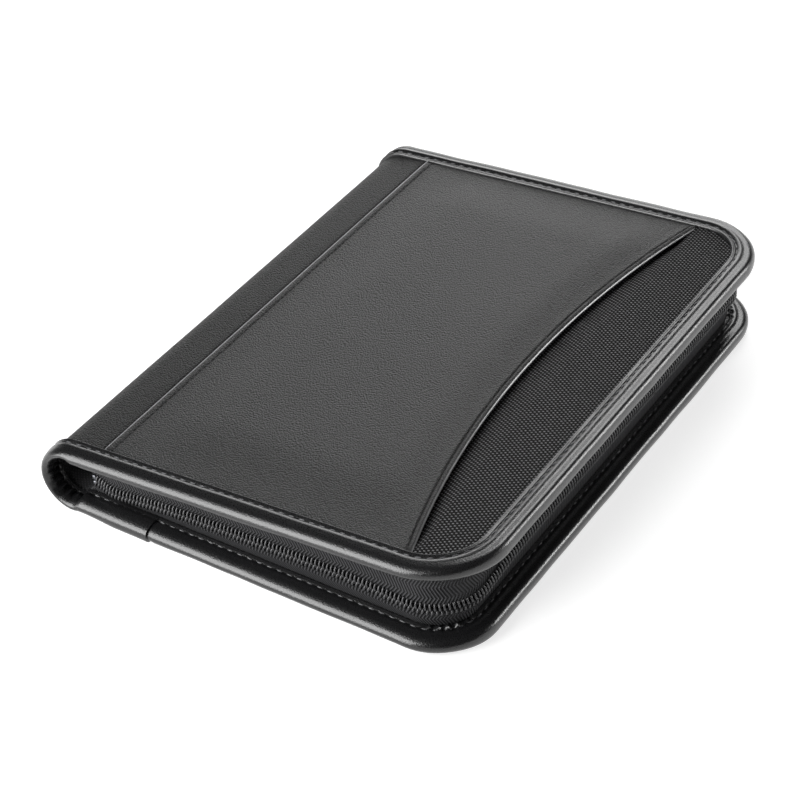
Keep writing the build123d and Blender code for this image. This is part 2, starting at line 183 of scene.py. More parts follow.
# How the binding's lip holds a panel down, and how uneven soft panels are
HELD_PAST = 0.6
HELD_FADE = 3.0
HELD_SINK = 0.1
UNEVEN = 0.12
UNEVEN_U = 30
UNEVEN_Y = 34
WRINKLE = 0.09
WRINKLE_RUN = 9
WRINKLE_Y = 26
RIPPLE = 0.12
RIPPLE_LENGTH = 20

# Seeds of the fixed wobbles
BACK_ROLL_SEED = 1.0
FRONT_ROLL_SEED = 2.0
SPINE_ROLL_SEED = 3.0
NYLON_SEED = 5.0
WRAP_SEED = 7.0
TAPE_SEED = 11.0

# Zip path, tapes and coils
ZIP_SIDE = 109.4
ZIP_FORE = 155.4
ZIP_CORNER = 14.0
ZIP_START = 4.0
COIL_FIRST = 6.2
COIL_LAST = 11.7
TAPE = 0.5
TAPE_EDGE = 1.2
TAPE_BOW = 0.35
TAPE_FOOT = 1.2
TAPE_FLANGE = 1.2
BOW_WAVER = 0.5
TAPE_COLUMNS = 9
COIL_FOOT = 2.4
COIL_TIP = -0.4
COIL_BULGE = 1.9
COIL_WIRE = 0.44
TOOTH_PITCH = 1.6
TOOTH_SLANT = 0.5
TOOTH_STEPS = 6
WIRE_SIDES = 8
MIDWAY = 0.5
OUTWARD = -1.0
ZIP_BULGE = 4.2
CORNER_SAG = 3.0
CORNER_SAG_LENGTH = 24.0
CORNER_SAG_IN = 4.0
START_SAG = 2.4
START_SAG_LENGTH = 22.0
START_SAG_AT = 12.0
START_BULGE = 0.3
START_EASE = 14.0
STOP_LENGTH = 1.9
STOP_HEIGHT = 2.3
STOP_DEPTH = 2.0
STOP_GAP = 0.15
STOP_SIDES = 16
STOP_PROFILE = ((0.0, 0.75), (0.15, 1.0), (0.85, 1.0), (1.0, 0.75))

# Stitches, each a bead one unit across that is drawn out to its size
STITCH_PITCH = 4.2
STITCH_LENGTH = 2.5
STITCH_WIDTH = 0.56
SMALL_PITCH = 3.2
SMALL_LENGTH = 2.3
SEAM_PITCH = 2.7
SEAM_LENGTH = 1.6
STITCH_SINK = 0.05
SEAM_SINK = 0.12
BEAD_SIDES = 8
BEAD_RINGS = 6
BEAD_RADIUS = 0.5

# Pieces inside, from the part
PAD_POCKET_U = (12.6, 142.4)
PAD_POCKET_Y = (-102.9, 47.1)
PAD_POCKET_W = (6.7, 8.3)
DOCUMENT_U = (14.0, 147.8)
DOCUMENT_Y = (-101.8, 30.0)
DOCUMENT_W = (7.5, 8.3)
CARD_U = (22.0, 122.0)
CARD_LOW = -92.0
CARD_LENGTH = 100.0
CARD_STEP = 20.0
CARD_SLOT = 0.6
CARD_TIERS = 3
POCKET_ROUND = 0.35
POCKET_EDGE = (0.0, 0.1, 0.35, 1.0)
POCKET_HEM = (6.0, 5.2, 4.5, 3.9, 3.3, 2.0, 0.8, 0.3, 0.1, 0.0)
POCKET_PLAIN = 3
POCKET_HEM_START = 8
POCKET_GROOVE = 0.12
POCKET_GROOVE_WIDTH = 0.5
POCKET_STITCH_IN = 1.8
POCKET_STITCH_END = 1
POCKET_STITCH_OUT = 0.1
PEN_U = 6.6
PEN_Y = (32.0, 58.0)
PEN_BORE = 5.0
PEN_WALL = 0.8
PEN_STEPS = 40

# Steps of the meshes, in millimetres and radians
EDGE_STEP = 3.0
CORNER_STEP = radians(3.0)
PANEL_STEP = 4.0
PANEL_COLUMNS = 30
UNDER_COLUMNS = 4
SLOPE_COLUMNS = 8
FOLD_SIDES = 16
GIRTH_STEP = 1.6
SHARP_ANGLE = radians(50.0)
STEP_SLACK = 1e-6


def smooth(value):
    """An eased step from 0 to 1."""
    value = min(max(value, 0.0), 1.0)
    return value * value * (3 - 2 * value)


def bell(value, centre, width):
    return exp(-(((value - centre) / width) ** 2))


def waver(run, seed):
    """A slow, fixed wobble between about -1 and 1 along a run."""
    return WAVER_GAIN * noise.noise(Vector((run / WAVER_LENGTH, seed, WAVER_ROW)))


def squared(value):
    """A sine or cosine drawn out so that a circle turns into a rounded square."""
    return copysign(sqrt(abs(value)), value)


def divide(first, last, count):
    """Values from first to last in a given number of even steps."""
    return [first + (last - first) * k / count for k in range(count + 1)]


def spread(first, last, step):
    """Evenly spaced values from first to last, at most a step apart."""
    return divide(first, last, max(1, ceil(abs(last - first) / step - STEP_SLACK)))


# Places on the covers, the zip and the spine: u from the spine, y along it, w from its centre line
def tilted_point(tilt, u, y, w):
    x = SPINE_X + u * cos(tilt) - w * sin(tilt)
    z = SPINE_RADIUS + u * sin(tilt) + w * cos(tilt)
    return Vector((x, y, z)) * MM


def back_point(u, y, w):
    return Vector((SPINE_X + u, y, SPINE_RADIUS - w)) * MM


def front_point(u, y, w):
    return tilted_point(WEDGE, u, y, w)


def zip_point(u, y, w):
    return tilted_point(WEDGE / 2, u, y, w)


def girth_point(run, y, w):
    """A place by its run round the spine: below 0 on the back cover, past ARC on the front one."""
    if run < 0:
        return back_point(-run, y, w)
    if run > ARC:
        return front_point(run - ARC, y, w)
    angle = run / SPINE_RADIUS
    return Vector((SPINE_X - w * sin(angle), y, SPINE_RADIUS - w * cos(angle))) * MM


def rounded_edge(reach, side, corner, start, finish, marks=()):
    """Stations along the near, fore and far edges: u, y, outward u and y, and the run so far.

    Marks are more places to stop at along the near edge.
    """
    turn_u = reach - corner
    turn_y = side - corner
    angles = spread(-pi / 2, 0, CORNER_STEP)[1:]
    near = sorted([*spread(start, turn_u, EDGE_STEP), *marks])
    stations = [(u, -side, 0, -1) for u in near]
    for angle in angles:
        place = (turn_u + corner * cos(angle), corner * sin(angle) - turn_y)
        stations.append((*place, cos(angle), sin(angle)))
    stations += [(reach, y, 1, 0) for y in spread(-turn_y, turn_y, EDGE_STEP)[1:]]
    for angle in angles:
        turned = angle + pi / 2
        place = (turn_u + corner * cos(turned), turn_y + corner * sin(turned))
        stations.append((*place, cos(turned), sin(turned)))
    stations += [(u, side, 0, 1) for u in spread(turn_u, finish, EDGE_STEP)[1:]]
    run = 0.0
    measured = []
    for index, station in enumerate(stations):
        if index:
            before = stations[index - 1]
            run += hypot(station[0] - before[0], station[1] - before[1])
        measured.append((*station, run))
    return measured


def outline_reach(reach, corner, inset, y):
    """How far a cover with an inset reaches from the spine at one place along it."""
    past = abs(y) - (HALF_LENGTH - corner)
    if past <= 0:
        return reach - inset
    radius = corner - inset
    return reach - corner + sqrt(max(radius * radius - past * past, 0.0))


# Meshes
def as_object(name, mesh, finish):
    mesh.materials.clear()
    mesh.materials.append(finish)
    mesh.shade_smooth()
    mesh.set_sharp_from_angle(angle=SHARP_ANGLE)
    made = bpy.data.objects.new(name, mesh)
    bpy.context.scene.collection.objects.link(made)
    return made


def loft(name, sections, finish, ring=False, from_above=False):
    """A closed skin through equal sections, with UVs in metres round each section and along them.

    A flat woven piece takes its UVs from above instead, so that its threads run straight.
    """
    count = len(sections[0])
    rows = len(sections)
    along = [0.0]
    for before, after in zip(sections, sections[1:]):
        along.append(along[-1] + (after[0] - before[0]).length)
    around = [0.0]
    for column in range(count):
        around.append(around[-1] + (sections[0][(column + 1) % count] - sections[0][column]).length)
    faces = []
    places = []
    for row in range(rows if ring else rows - 1):
        low = row * count
        high = (row + 1) % rows * count
        far = along[row + 1] if row + 1 < rows else along[-1]
        for column in range(count):
            side = (column + 1) % count
            faces.append((low + column, low + side, high + side, high + column))
            left, right = around[column], around[column + 1]
            places += [(left, along[row]), (right, along[row]), (right, far), (left, far)]
    if not ring:
        faces.append(tuple(range(count))[::-1])
        faces.append(tuple(range((rows - 1) * count, rows * count)))
        places += [(0.0, 0.0)] * (2 * count)
    points = [point for section in sections for point in section]
    if from_above:
        places = [points[corner].xy for face in faces for corner in face]
    mesh = bpy.data.meshes.new(name)
    mesh.from_pydata(points, [], faces)
    layer = mesh.uv_layers.new(name="surface")
    for loop, place in zip(layer.data, places):
        loop.uv = place
    form = bmesh.new()
    form.from_mesh(mesh)
    bmesh.ops.recalc_face_normals(form, faces=form.faces)
    form.to_mesh(mesh)
    form.free()
    return as_object(name, mesh, finish)


def ribbon(centres, thickness):
    """A closed flat section of even thickness along a line of (offset, height) points."""
    left = []
    right = []
    for index, (x, y) in enumerate(centres):
        before = centres[max(index - 1, 0)]
        after = centres[min(index + 1, len(centres) - 1)]
        length = hypot(after[0] - before[0], after[1] - before[1])
        nx = -(after[1] - before[1]) / length * thickness / 2
        ny = (after[0] - before[0]) / length * thickness / 2
        left.append((x + nx, y + ny))
        right.append((x - nx, y - ny))
    return left + right[::-1]


def add(tree, kind, values=None, links=None, **settings):
    """Adds a node with its settings, its socket values and the sockets that feed it."""
    node = tree.nodes.new(kind)
    for name, value in settings.items():
        setattr(node, name, value)
    for name, value in (values or {}).items():
        node.inputs[name].default_value = value
    for name, socket in (links or {}).items():
        tree.links.new(socket, node.inputs[name])
    return node


# Geometry Nodes: stitches and zip teeth laid along a path
def row_tree(name, sizes):
    tree = bpy.data.node_groups.new(name, "GeometryNodeTree")
    tree.interface.new_socket("Path", in_out="INPUT", socket_type="NodeSocketGeometry")
    for size in sizes:
        tree.interface.new_socket(size, in_out="INPUT", socket_type="NodeSocketFloat")
    tree.interface.new_socket("Finish", in_out="INPUT", socket_type="NodeSocketMaterial")
    tree.interface.new_socket("Row", in_out="OUTPUT", socket_type="NodeSocketGeometry")
    return tree


def lay_shape(tree, given, shape, pivot):
    """Puts a shape at every pitch along the path, turned to run with it, as one plain mesh."""
    line = add(tree, "GeometryNodeMeshToCurve", links={"Mesh": given.outputs["Path"]})
    points = add(
        tree,
        "GeometryNodeCurveToPoints",
        links={"Curve": line.outputs["Curve"], "Length": given.outputs["Pitch"]},
        mode="LENGTH",
    )
    facing = add(
        tree,
        "FunctionNodeAlignRotationToVector",
        links={"Vector": points.outputs["Tangent"]},
        axis="X",
        pivot_axis=pivot,
    )
    placed = add(
        tree,
        "GeometryNodeInstanceOnPoints",
        links={
            "Points": points.outputs["Points"],
            "Instance": shape,
            "Rotation": facing.outputs["Rotation"],
        },
    )
    real = add(
        tree, "GeometryNodeRealizeInstances", links={"Geometry": placed.outputs["Instances"]}
    )
    dressed = add(
        tree,
        "GeometryNodeSetMaterial",
        links={"Geometry": real.outputs["Geometry"], "Material": given.outputs["Finish"]},
    )
    add(tree, "NodeGroupOutput", links={"Row": dressed.outputs["Geometry"]})


def stitch_row_tree():
    """A thread's stitches: long beads, pulled down at both ends."""
    tree = row_tree("stitch_row", ["Pitch", "Length", "Width"])
    given = add(tree, "NodeGroupInput")
    bead = add(
        tree,
        "GeometryNodeMeshUVSphere",
        values={"Segments": BEAD_SIDES, "Rings": BEAD_RINGS, "Radius": BEAD_RADIUS},
    )
    size = add(
        tree,
        "ShaderNodeCombineXYZ",
        links={
            "X": given.outputs["Length"],
            "Y": given.outputs["Width"],
            "Z": given.outputs["Width"],
        },
    )
    stitch = add(
        tree,
        "GeometryNodeTransform",
        links={"Geometry": bead.outputs["Mesh"], "Scale": size.outputs["Vector"]},
    )
    lay_shape(tree, given, stitch.outputs["Geometry"], "AUTO")
    return tree


def zip_tooth_tree():
    """A zip's teeth: one bowed wire for each turn of the coil."""
    tree = row_tree("zip_tooth_row", ["Pitch", "Foot", "Tip", "Bulge", "Wire", "Slant"])
    given = add(tree, "NodeGroupInput")
    middle = add(
        tree,
        "ShaderNodeMath",
        links={0: given.outputs["Foot"], 1: given.outputs["Tip"]},
        operation="ADD",
    )
    halfway = add(
        tree,
        "ShaderNodeMath",
        values={1: MIDWAY},
        links={0: middle.outputs[0]},
        operation="MULTIPLY",
    )
    out = add(
        tree,
        "ShaderNodeMath",
        values={1: OUTWARD},
        links={0: given.outputs["Bulge"]},
        operation="MULTIPLY",
    )
    foot = add(tree, "ShaderNodeCombineXYZ", links={"Z": given.outputs["Foot"]})
    bow = add(
        tree, "ShaderNodeCombineXYZ", links={"Y": out.outputs[0], "Z": halfway.outputs[0]}
    )
    tip = add(
        tree, "ShaderNodeCombineXYZ", links={"X": given.outputs["Slant"], "Z": given.outputs["Tip"]}
    )
    line = add(
        tree,
        "GeometryNodeCurveQuadraticBezier",
        values={"Resolution": TOOTH_STEPS},
        links={
            "Start": foot.outputs["Vector"],
            "Middle": bow.outputs["Vector"],
            "End": tip.outputs["Vector"],
        },
    )
    wire = add(
        tree,
        "GeometryNodeCurvePrimitiveCircle",
        values={"Resolution": WIRE_SIDES},
        links={"Radius": given.outputs["Wire"]},
        mode="RADIUS",
    )
    tooth = add(
        tree,
        "GeometryNodeCurveToMesh",
        values={"Fill Caps": True},
        links={"Curve": line.outputs["Curve"], "Profile Curve": wire.outputs["Curve"]},
    )
    lay_shape(tree, given, tooth.outputs["Mesh"], "Z")
    return tree


def laid_along(name, paths, tree, sizes, finish):
    """The plain mesh that a tree lays along open paths."""
    line = bpy.data.meshes.new(name + "_path")
    points = [point for path in paths for point in path]
    edges = []
    first = 0
    for path in paths:
        edges += [(first + k, first + k + 1) for k in range(len(path) - 1)]
        first += len(path)
    line.from_pydata(points, edges, [])
    guide = bpy.data.objects.new(name + "_path", line)
    bpy.context.scene.collection.objects.link(guide)
    modifier = guide.modifiers.new("row", "NODES")
    modifier.node_group = tree
    for item in tree.interface.items_tree:
        if item.in_out == "INPUT" and item.name in sizes:
            modifier[item.identifier] = sizes[item.name] * MM
        if item.name == "Finish":
            modifier[item.identifier] = finish
    shown = guide.evaluated_get(bpy.context.evaluated_depsgraph_get())
    mesh = bpy.data.meshes.new_from_object(shown)
    bpy.data.objects.remove(guide)
    bpy.data.meshes.remove(line)
    mesh.name = name
    return as_object(name, mesh, finish)


# Materials, with the sRGB standard's own values first
SRGB_FULL = 255
SRGB_KNEE = 0.04045
SRGB_SLOPE = 12.92
SRGB_LIFT = 0.055
SRGB_POWER = 2.4
WHITE = (1, 1, 1, 1)
BLACK = (0, 0, 0, 1)


def linear_level(level):
    if level <= SRGB_KNEE:
        return level / SRGB_SLOPE
    return ((level + SRGB_LIFT) / (1 + SRGB_LIFT)) ** SRGB_POWER


def linear(hex_colour):
    """Linear colour from an sRGB hex value."""
    levels = [int(hex_colour[k : k + 2], 16) / SRGB_FULL for k in (1, 3, 5)]
    return (*[linear_level(level) for level in levels], 1.0)


def finish_tree(name, colour, roughness, **settings):
    """A new material with its surface shader's plain values set."""
    made = bpy.data.materials.new(name)
    made.use_nodes = True
    tree = made.node_tree
    shader = tree.nodes["Principled BSDF"]
    shader.inputs["Base Color"].default_value = linear(colour)
    shader.inputs["Roughness"].default_value = roughness
    for socket, value in settings.items():
        shader.inputs[socket.replace("_", " ")].default_value = value
    return made, tree, shader


# Leather's grain: soft pebbles, creases four of them wide, and slow blotches of tone
GRAIN_SMOOTHNESS = 0.6
GRAIN_TOP = 0.9
CREASE_SPAN = 4
CREASE_SHARE = 0.2
CREASE_DETAIL = 3.0
CREASE_ROUGHNESS = 0.6
BLOTCH_MM = 28
BLOTCH_DETAIL = 2.0
PEBBLE_SHINE = 0.06
CREASE_DULLS = 0.12


def grained_leather(name, colour, worn_colour, roughness, grain_mm, depth_mm, **settings):
    """Coated split leather pressed with a fine pebble grain: dark, its soft sheen broken up."""
    made, tree, shader = finish_tree(name, colour, roughness, **settings)
    place = add(tree, "ShaderNodeTexCoord")
    pebbles = add(
        tree,
        "ShaderNodeTexVoronoi",
        values={"Scale": 1 / (grain_mm * MM), "Smoothness": GRAIN_SMOOTHNESS, "Randomness": 1.0},
        links={"Vector": place.outputs["Object"]},
        feature="SMOOTH_F1",
    )
    creases = add(
        tree,
        "ShaderNodeTexNoise",
        values={
            "Scale": 1 / (CREASE_SPAN * grain_mm * MM),
            "Detail": CREASE_DETAIL,
            "Roughness": CREASE_ROUGHNESS,
        },
        links={"Vector": place.outputs["Object"]},
    )
    blotches = add(
        tree,
        "ShaderNodeTexNoise",
        values={"Scale": 1 / (BLOTCH_MM * MM), "Detail": BLOTCH_DETAIL},
        links={"Vector": place.outputs["Object"]},
    )
    tone = add(
        tree,
        "ShaderNodeMix",
        values={"A": linear(colour), "B": linear(worn_colour)},
        links={"Factor": blotches.outputs["Fac"]},
        data_type="RGBA",
    )
    gloss = add(
        tree,
        "ShaderNodeMapRange",
        values={
            "From Max": GRAIN_TOP,
            "To Min": roughness - PEBBLE_SHINE,
            "To Max": roughness + CREASE_DULLS,
        },
        links={"Value": pebbles.outputs["Distance"]},
    )
    relief = add(
        tree,
        "ShaderNodeMath",
        values={1: CREASE_SHARE},
        links={0: creases.outputs["Fac"], 2: pebbles.outputs["Distance"]},
        operation="MULTIPLY_ADD",
    )
    bump = add(
        tree,
        "ShaderNodeBump",
        values={"Strength": 1.0, "Distance": depth_mm * MM},
        links={"Height": relief.outputs[0]},
        invert=True,
    )
    tree.links.new(tone.outputs["Result"], shader.inputs["Base Color"])
    tree.links.new(gloss.outputs["Result"], shader.inputs["Roughness"])
    tree.links.new(bump.outputs["Normal"], shader.inputs["Normal"])
    return made


# Cloth: how low a thread passes under, where its crown and the painted glint on it start and end,
# and how far it strays
UNDER_SHARE = 0.3
THREAD_EDGE = 0.35
THREAD_TOP = 0.65
THREAD_SHINE_AT = 0.8
STRAY_SCALE = 0.35
STRAY_DETAIL = 1.0
STRAY = (0.25, 0.25, 0.0)


def woven_cloth(name, colour, light_colour, roughness, threads_mm, depth_mm, **settings):
    """Plain woven cloth: threads pass over and under in turn, so it glints in small squares; the
    glint is painted, the crowns in the light colour and the gaps dark as painted shade.
    """
    made, tree, shader = finish_tree(name, colour, roughness, **settings)
    place = add(tree, "ShaderNodeUVMap", uv_map="surface")
    scaled = add(
        tree,
        "ShaderNodeVectorMath",
        values={1: (1 / (threads_mm[0] * MM), 1 / (threads_mm[1] * MM), 1.0)},
        links={0: place.outputs["UV"]},
        operation="MULTIPLY",
    )
    wobble = add(
        tree,
        "ShaderNodeTexNoise",
        values={"Scale": STRAY_SCALE, "Detail": STRAY_DETAIL},
        links={"Vector": scaled.outputs["Vector"]},
    )
    loose = add(
        tree,
        "ShaderNodeVectorMath",
        values={1: STRAY},
        links={0: wobble.outputs["Color"], 2: scaled.outputs["Vector"]},
        operation="MULTIPLY_ADD",
    )
    parts = add(tree, "ShaderNodeSeparateXYZ", links={"Vector": loose.outputs["Vector"]})
    turned = []
    for axis in ("X", "Y"):
        turn = add(
            tree,
            "ShaderNodeMath",
            values={1: pi},
            links={0: parts.outputs[axis]},
            operation="MULTIPLY",
        )
        wave = add(tree, "ShaderNodeMath", links={0: turn.outputs[0]}, operation="SINE")
        turned.append(add(tree, "ShaderNodeMath", links={0: wave.outputs[0]}, operation="ABSOLUTE"))
    checks = add(
        tree,
        "ShaderNodeTexChecker",
        values={"Color1": WHITE, "Color2": BLACK, "Scale": 1.0},
        links={"Vector": loose.outputs["Vector"]},
    )
    crossing = add(
        tree,
        "ShaderNodeMath",
        links={0: turned[0].outputs[0], 1: turned[1].outputs[0]},
        operation="MULTIPLY",
    )
    over = add(
        tree,
        "ShaderNodeMapRange",
        values={"To Min": UNDER_SHARE, "To Max": 1.0},
        links={"Value": checks.outputs["Fac"]},
    )
    height = add(
        tree,
        "ShaderNodeMath",
        links={0: over.outputs["Result"], 1: crossing.outputs[0]},
        operation="MULTIPLY",
    )
    crest = add(
        tree,
        "ShaderNodeMapRange",
        values={"From Min": THREAD_EDGE, "From Max": THREAD_TOP},
        links={"Value": height.outputs[0]},
        interpolation_type="SMOOTHSTEP",
    )
    # Painted glint on the threads' crowns and painted shade in the low gaps
    tone = add(
        tree,
        "ShaderNodeMix",
        values={"A": linear(colour), "B": linear(light_colour)},
        links={"Factor": crest.outputs["Result"]},
        data_type="RGBA",
    )
    bump = add(
        tree,
        "ShaderNodeBump",
        values={"Strength": 1.0, "Distance": depth_mm * MM},
        links={"Height": height.outputs[0]},
    )
    gloss = add(
        tree,
        "ShaderNodeMapRange",
        values={"From Max": THREAD_SHINE_AT, "To Min": 1.0, "To Max": roughness},
        links={"Value": height.outputs[0]},
    )
    tree.links.new(tone.outputs["Result"], shader.inputs["Base Color"])
    tree.links.new(gloss.outputs["Result"], shader.inputs["Roughness"])
    tree.links.new(bump.outputs["Normal"], shader.inputs["Normal"])
    return made


TAPE_ROUGHNESS = 0.75
TAPE_SHINE = 0.25
SINE_LOW = -1.0


def herringbone_tape(name, colour, light_colour, rib_mm, column_mm, depth_mm):
    """Polyester zip tape: fine slanting ribs that turn back column by column, matt and dark, the
    crest of each rib painted lighter as a painted highlight.
    """
    made, tree, shader = finish_tree(name, colour, TAPE_ROUGHNESS, Specular_IOR_Level=TAPE_SHINE)
    place = add(tree, "ShaderNodeUVMap", uv_map="surface")
    parts = add(tree, "ShaderNodeSeparateXYZ", links={"Vector": place.outputs["UV"]})
    column = add(
        tree,
        "ShaderNodeMath",
        values={1: column_mm * MM},
        links={0: parts.outputs["X"]},
        operation="PINGPONG",
    )
    slant = add(
        tree, "ShaderNodeMath", links={0: parts.outputs["Y"], 1: column.outputs[0]}, operation="ADD"
    )
    turn = add(
        tree,
        "ShaderNodeMath",
        values={1: 2 * pi / (rib_mm * MM)},
        links={0: slant.outputs[0]},
        operation="MULTIPLY",
    )
    rib = add(tree, "ShaderNodeMath", links={0: turn.outputs[0]}, operation="SINE")
    level = add(
        tree, "ShaderNodeMapRange", values={"From Min": SINE_LOW}, links={"Value": rib.outputs[0]}
    )
    # Painted highlight on the ribs' crests and painted shade in their troughs
    tone = add(
        tree,
        "ShaderNodeMix",
        values={"A": linear(colour), "B": linear(light_colour)},
        links={"Factor": level.outputs["Result"]},
        data_type="RGBA",
    )
    bump = add(
        tree,
        "ShaderNodeBump",
        values={"Strength": 1.0, "Distance": depth_mm * MM},
        links={"Height": level.outputs["Result"]},
    )
    tree.links.new(tone.outputs["Result"], shader.inputs["Base Color"])
    tree.links.new(bump.outputs["Normal"], shader.inputs["Normal"])
    return made


SPECK_DETAIL = 3.0
SPECK_SHINE = 0.08
SPECK_DULLS = 0.1
LEAST_ROUGHNESS = 0.02


def speckled(name, colour, light_colour, roughness, speck_mm, depth_mm, **settings):
    """A plain surface with a fine, uneven tooth, for thread, wire, board, card and cast metal."""
    made, tree, shader = finish_tree(name, colour, roughness, **settings)
    place = add(tree, "ShaderNodeTexCoord")
    specks = add(
        tree,
        "ShaderNodeTexNoise",
        values={"Scale": 1 / (speck_mm * MM), "Detail": SPECK_DETAIL},
        links={"Vector": place.outputs["Object"]},
    )
    tone = add(
        tree,
        "ShaderNodeMix",
        values={"A": linear(colour), "B": linear(light_colour)},
        links={"Factor": specks.outputs["Fac"]},
        data_type="RGBA",
    )
    gloss = add(
        tree,
        "ShaderNodeMapRange",
        values={
            "To Min": max(roughness - SPECK_SHINE, LEAST_ROUGHNESS),
            "To Max": roughness + SPECK_DULLS,
        },
        links={"Value": specks.outputs["Fac"]},
    )
    bump = add(
        tree,
        "ShaderNodeBump",
        values={"Strength": 1.0, "Distance": depth_mm * MM},
        links={"Height": specks.outputs["Fac"]},
    )
    tree.links.new(tone.outputs["Result"], shader.inputs["Base Color"])
    tree.links.new(gloss.outputs["Result"], shader.inputs["Roughness"])
    tree.links.new(bump.outputs["Normal"], shader.inputs["Normal"])
    return made


# Ruled paper: its leaf edges are too fine to show, so the wave draws them about 1.9 mm apart
PAPER_COLOUR = "#efece2"
PAPER_ROUGHNESS = 0.85
RULE_COLOUR = "#9fb3cc"
RULE_MM = 7.1
RULE_SHARE = 0.05
LEAF_MM = 0.3
LEAF_WAVES = 20
LEAF_STRAY = 0.6
LEAF_DETAIL = 2.0
LEAF_STRENGTH = 0.6
LEAF_DEPTH_MM = 0.1


def ruled_paper():
    """Bond paper in a glued pad: matt off-white, faint blue rules and leaf edges at the sides."""
    made, tree, shader = finish_tree("ruled_paper", PAPER_COLOUR, PAPER_ROUGHNESS)
    place = add(tree, "ShaderNodeTexCoord")
    parts = add(tree, "ShaderNodeSeparateXYZ", links={"Vector": place.outputs["Object"]})
    lines = add(
        tree,
        "ShaderNodeMath",
        values={1: 1 / (RULE_MM * MM)},
        links={0: parts.outputs["Y"]},
        operation="MULTIPLY",
    )
    share = add(tree, "ShaderNodeMath", links={0: lines.outputs[0]}, operation="FRACT")
    rule = add(
        tree,
        "ShaderNodeMath",
        values={1: RULE_SHARE},
        links={0: share.outputs[0]},
        operation="LESS_THAN",
    )
    leaves = add(
        tree,
        "ShaderNodeTexWave",
        values={
            "Scale": 1 / (LEAF_WAVES * LEAF_MM * MM),
            "Distortion": LEAF_STRAY,
            "Detail": LEAF_DETAIL,
        },
        links={"Vector": place.outputs["Object"]},
        bands_direction="Z",
    )
    tone = add(
        tree,
        "ShaderNodeMix",
        values={"A": linear(PAPER_COLOUR), "B": linear(RULE_COLOUR)},
        links={"Factor": rule.outputs[0]},
        data_type="RGBA",
    )
    bump = add(
        tree,
        "ShaderNodeBump",
        values={"Strength": LEAF_STRENGTH, "Distance": LEAF_DEPTH_MM * MM},
        links={"Height": leaves.outputs["Fac"]},
    )
    tree.links.new(tone.outputs["Result"], shader.inputs["Base Color"])
    tree.links.new(bump.outputs["Normal"], shader.inputs["Normal"])
    return made


# Cover leather is semi-matt with a fine pebble; the spine's copy has a duller sheen and is painted
# a little darker as painted shade
cover_leather = grained_leather(
    "cover_leather", "#161616", "#1c1c1c", roughness=0.5, grain_mm=0.6, depth_mm=0.38
)
spine_hide_painted_shade = grained_leather(
    "spine_hide_painted_shade",
    "#141414",
    "#1a1a1a",
    roughness=0.5,
    grain_mm=0.6,
    depth_mm=0.38,
    Specular_IOR_Level=0.26,
)
# The binding is cut from a smoother, glazed skin, which gives the rolled edges a shine
binding_leather = grained_leather(
    "binding_leather",
    "#0f0f10",
    "#141415",
    roughness=0.27,
    grain_mm=0.5,
    depth_mm=0.07,
    Coat_Weight=0.3,
    Coat_Roughness=0.2,
)
# Pocket leather is thin and nearly smooth, with a soft sheen
inner_leather = grained_leather(
    "inner_leather", "#171718", "#1d1d1e", roughness=0.5, grain_mm=0.8, depth_mm=0.06
)
# Leather edges: burnished to a glossy dark grey where hands go in; beside the spine a pale grey
# fold stands in as a painted highlight
burnished_edge = grained_leather(
    "burnished_edge",
    "#38383a",
    "#444446",
    roughness=0.3,
    grain_mm=0.6,
    depth_mm=0.02,
    Coat_Weight=0.5,
    Coat_Roughness=0.2,
)
# A pale grey copy of the leather: a painted highlight for the fold beside the spine seam
painted_highlight_edge = grained_leather(
    "painted_highlight_edge", "#78787a", "#868688", roughness=0.36, grain_mm=0.7, depth_mm=0.03
)
# Ballistic nylon: thick doubled threads at their real spacing, wider one way than the other; black,
# with the crowns painted grey as a painted glint
pocket_nylon = woven_cloth(
    "ballistic_nylon",
    "#010101",
    "#666668",
    roughness=0.4,
    threads_mm=(1.24, 0.79),
    depth_mm=0.4,
    Specular_IOR_Level=0.25,
)
# Lining cloth and elastic have threads of 0.3 mm, drawn at 0.8 and 0.7 mm so that they show, with a
# painted glint on their crowns
lining_cloth = woven_cloth(
    "lining_cloth",
    "#151517",
    "#2c2c2f",
    roughness=0.7,
    threads_mm=(0.8, 0.8),
    depth_mm=0.12,
    Sheen_Weight=0.15,
)
elastic_web = woven_cloth(
    "elastic_web",
    "#101011",
    "#27272a",
    roughness=0.65,
    threads_mm=(0.7, 0.7),
    depth_mm=0.15,
    Sheen_Weight=0.15,
)
# Zip tape's ribs are about 0.6 mm apart, drawn at 1.3 mm so that the dark chevrons and the painted
# highlight on the ribs show
zip_tape_cloth = herringbone_tape(
    "zip_tape_twill", "#020202", "#3e3e40", rib_mm=1.3, column_mm=2.4, depth_mm=0.4
)
# Nylon filament of the coil: smooth and a little shiny, its black lifted to a dark grey as painted
# light on the raised coil
coil_nylon = speckled(
    "coil_nylon", "#242425", "#343436", roughness=0.25, speck_mm=1.2, depth_mm=0.02
)
# Waxed thread is black and dull; bonded thread is black and smooth, painted mid grey here as a
# painted glint
seam_thread = speckled(
    "waxed_seam_thread", "#060606", "#0e0e0f", roughness=0.7, speck_mm=0.35, depth_mm=0.06
)
# Grey here is a painted glint on black thread
painted_glint_thread = speckled(
    "bonded_thread_painted_glint", "#3c3c3e", "#58585a", roughness=0.35, speck_mm=0.35, depth_mm=0.06
)
# Die-cast zinc with a gunmetal plating: grey, with blurred reflections
zip_metal = speckled(
    "gunmetal_zinc", "#5c5d61", "#6e6f73", roughness=0.36, speck_mm=0.5, depth_mm=0.01, Metallic=1.0
)
# Boards of pressed pulp: grey and brown, matt and flecked
grey_board = speckled(
    "grey_board", "#6d6a64", "#807c74", roughness=0.9, speck_mm=0.6, depth_mm=0.04
)
pad_card = speckled(
    "pulp_card", "#8d7c62", "#a08f75", roughness=0.85, speck_mm=0.8, depth_mm=0.03
)
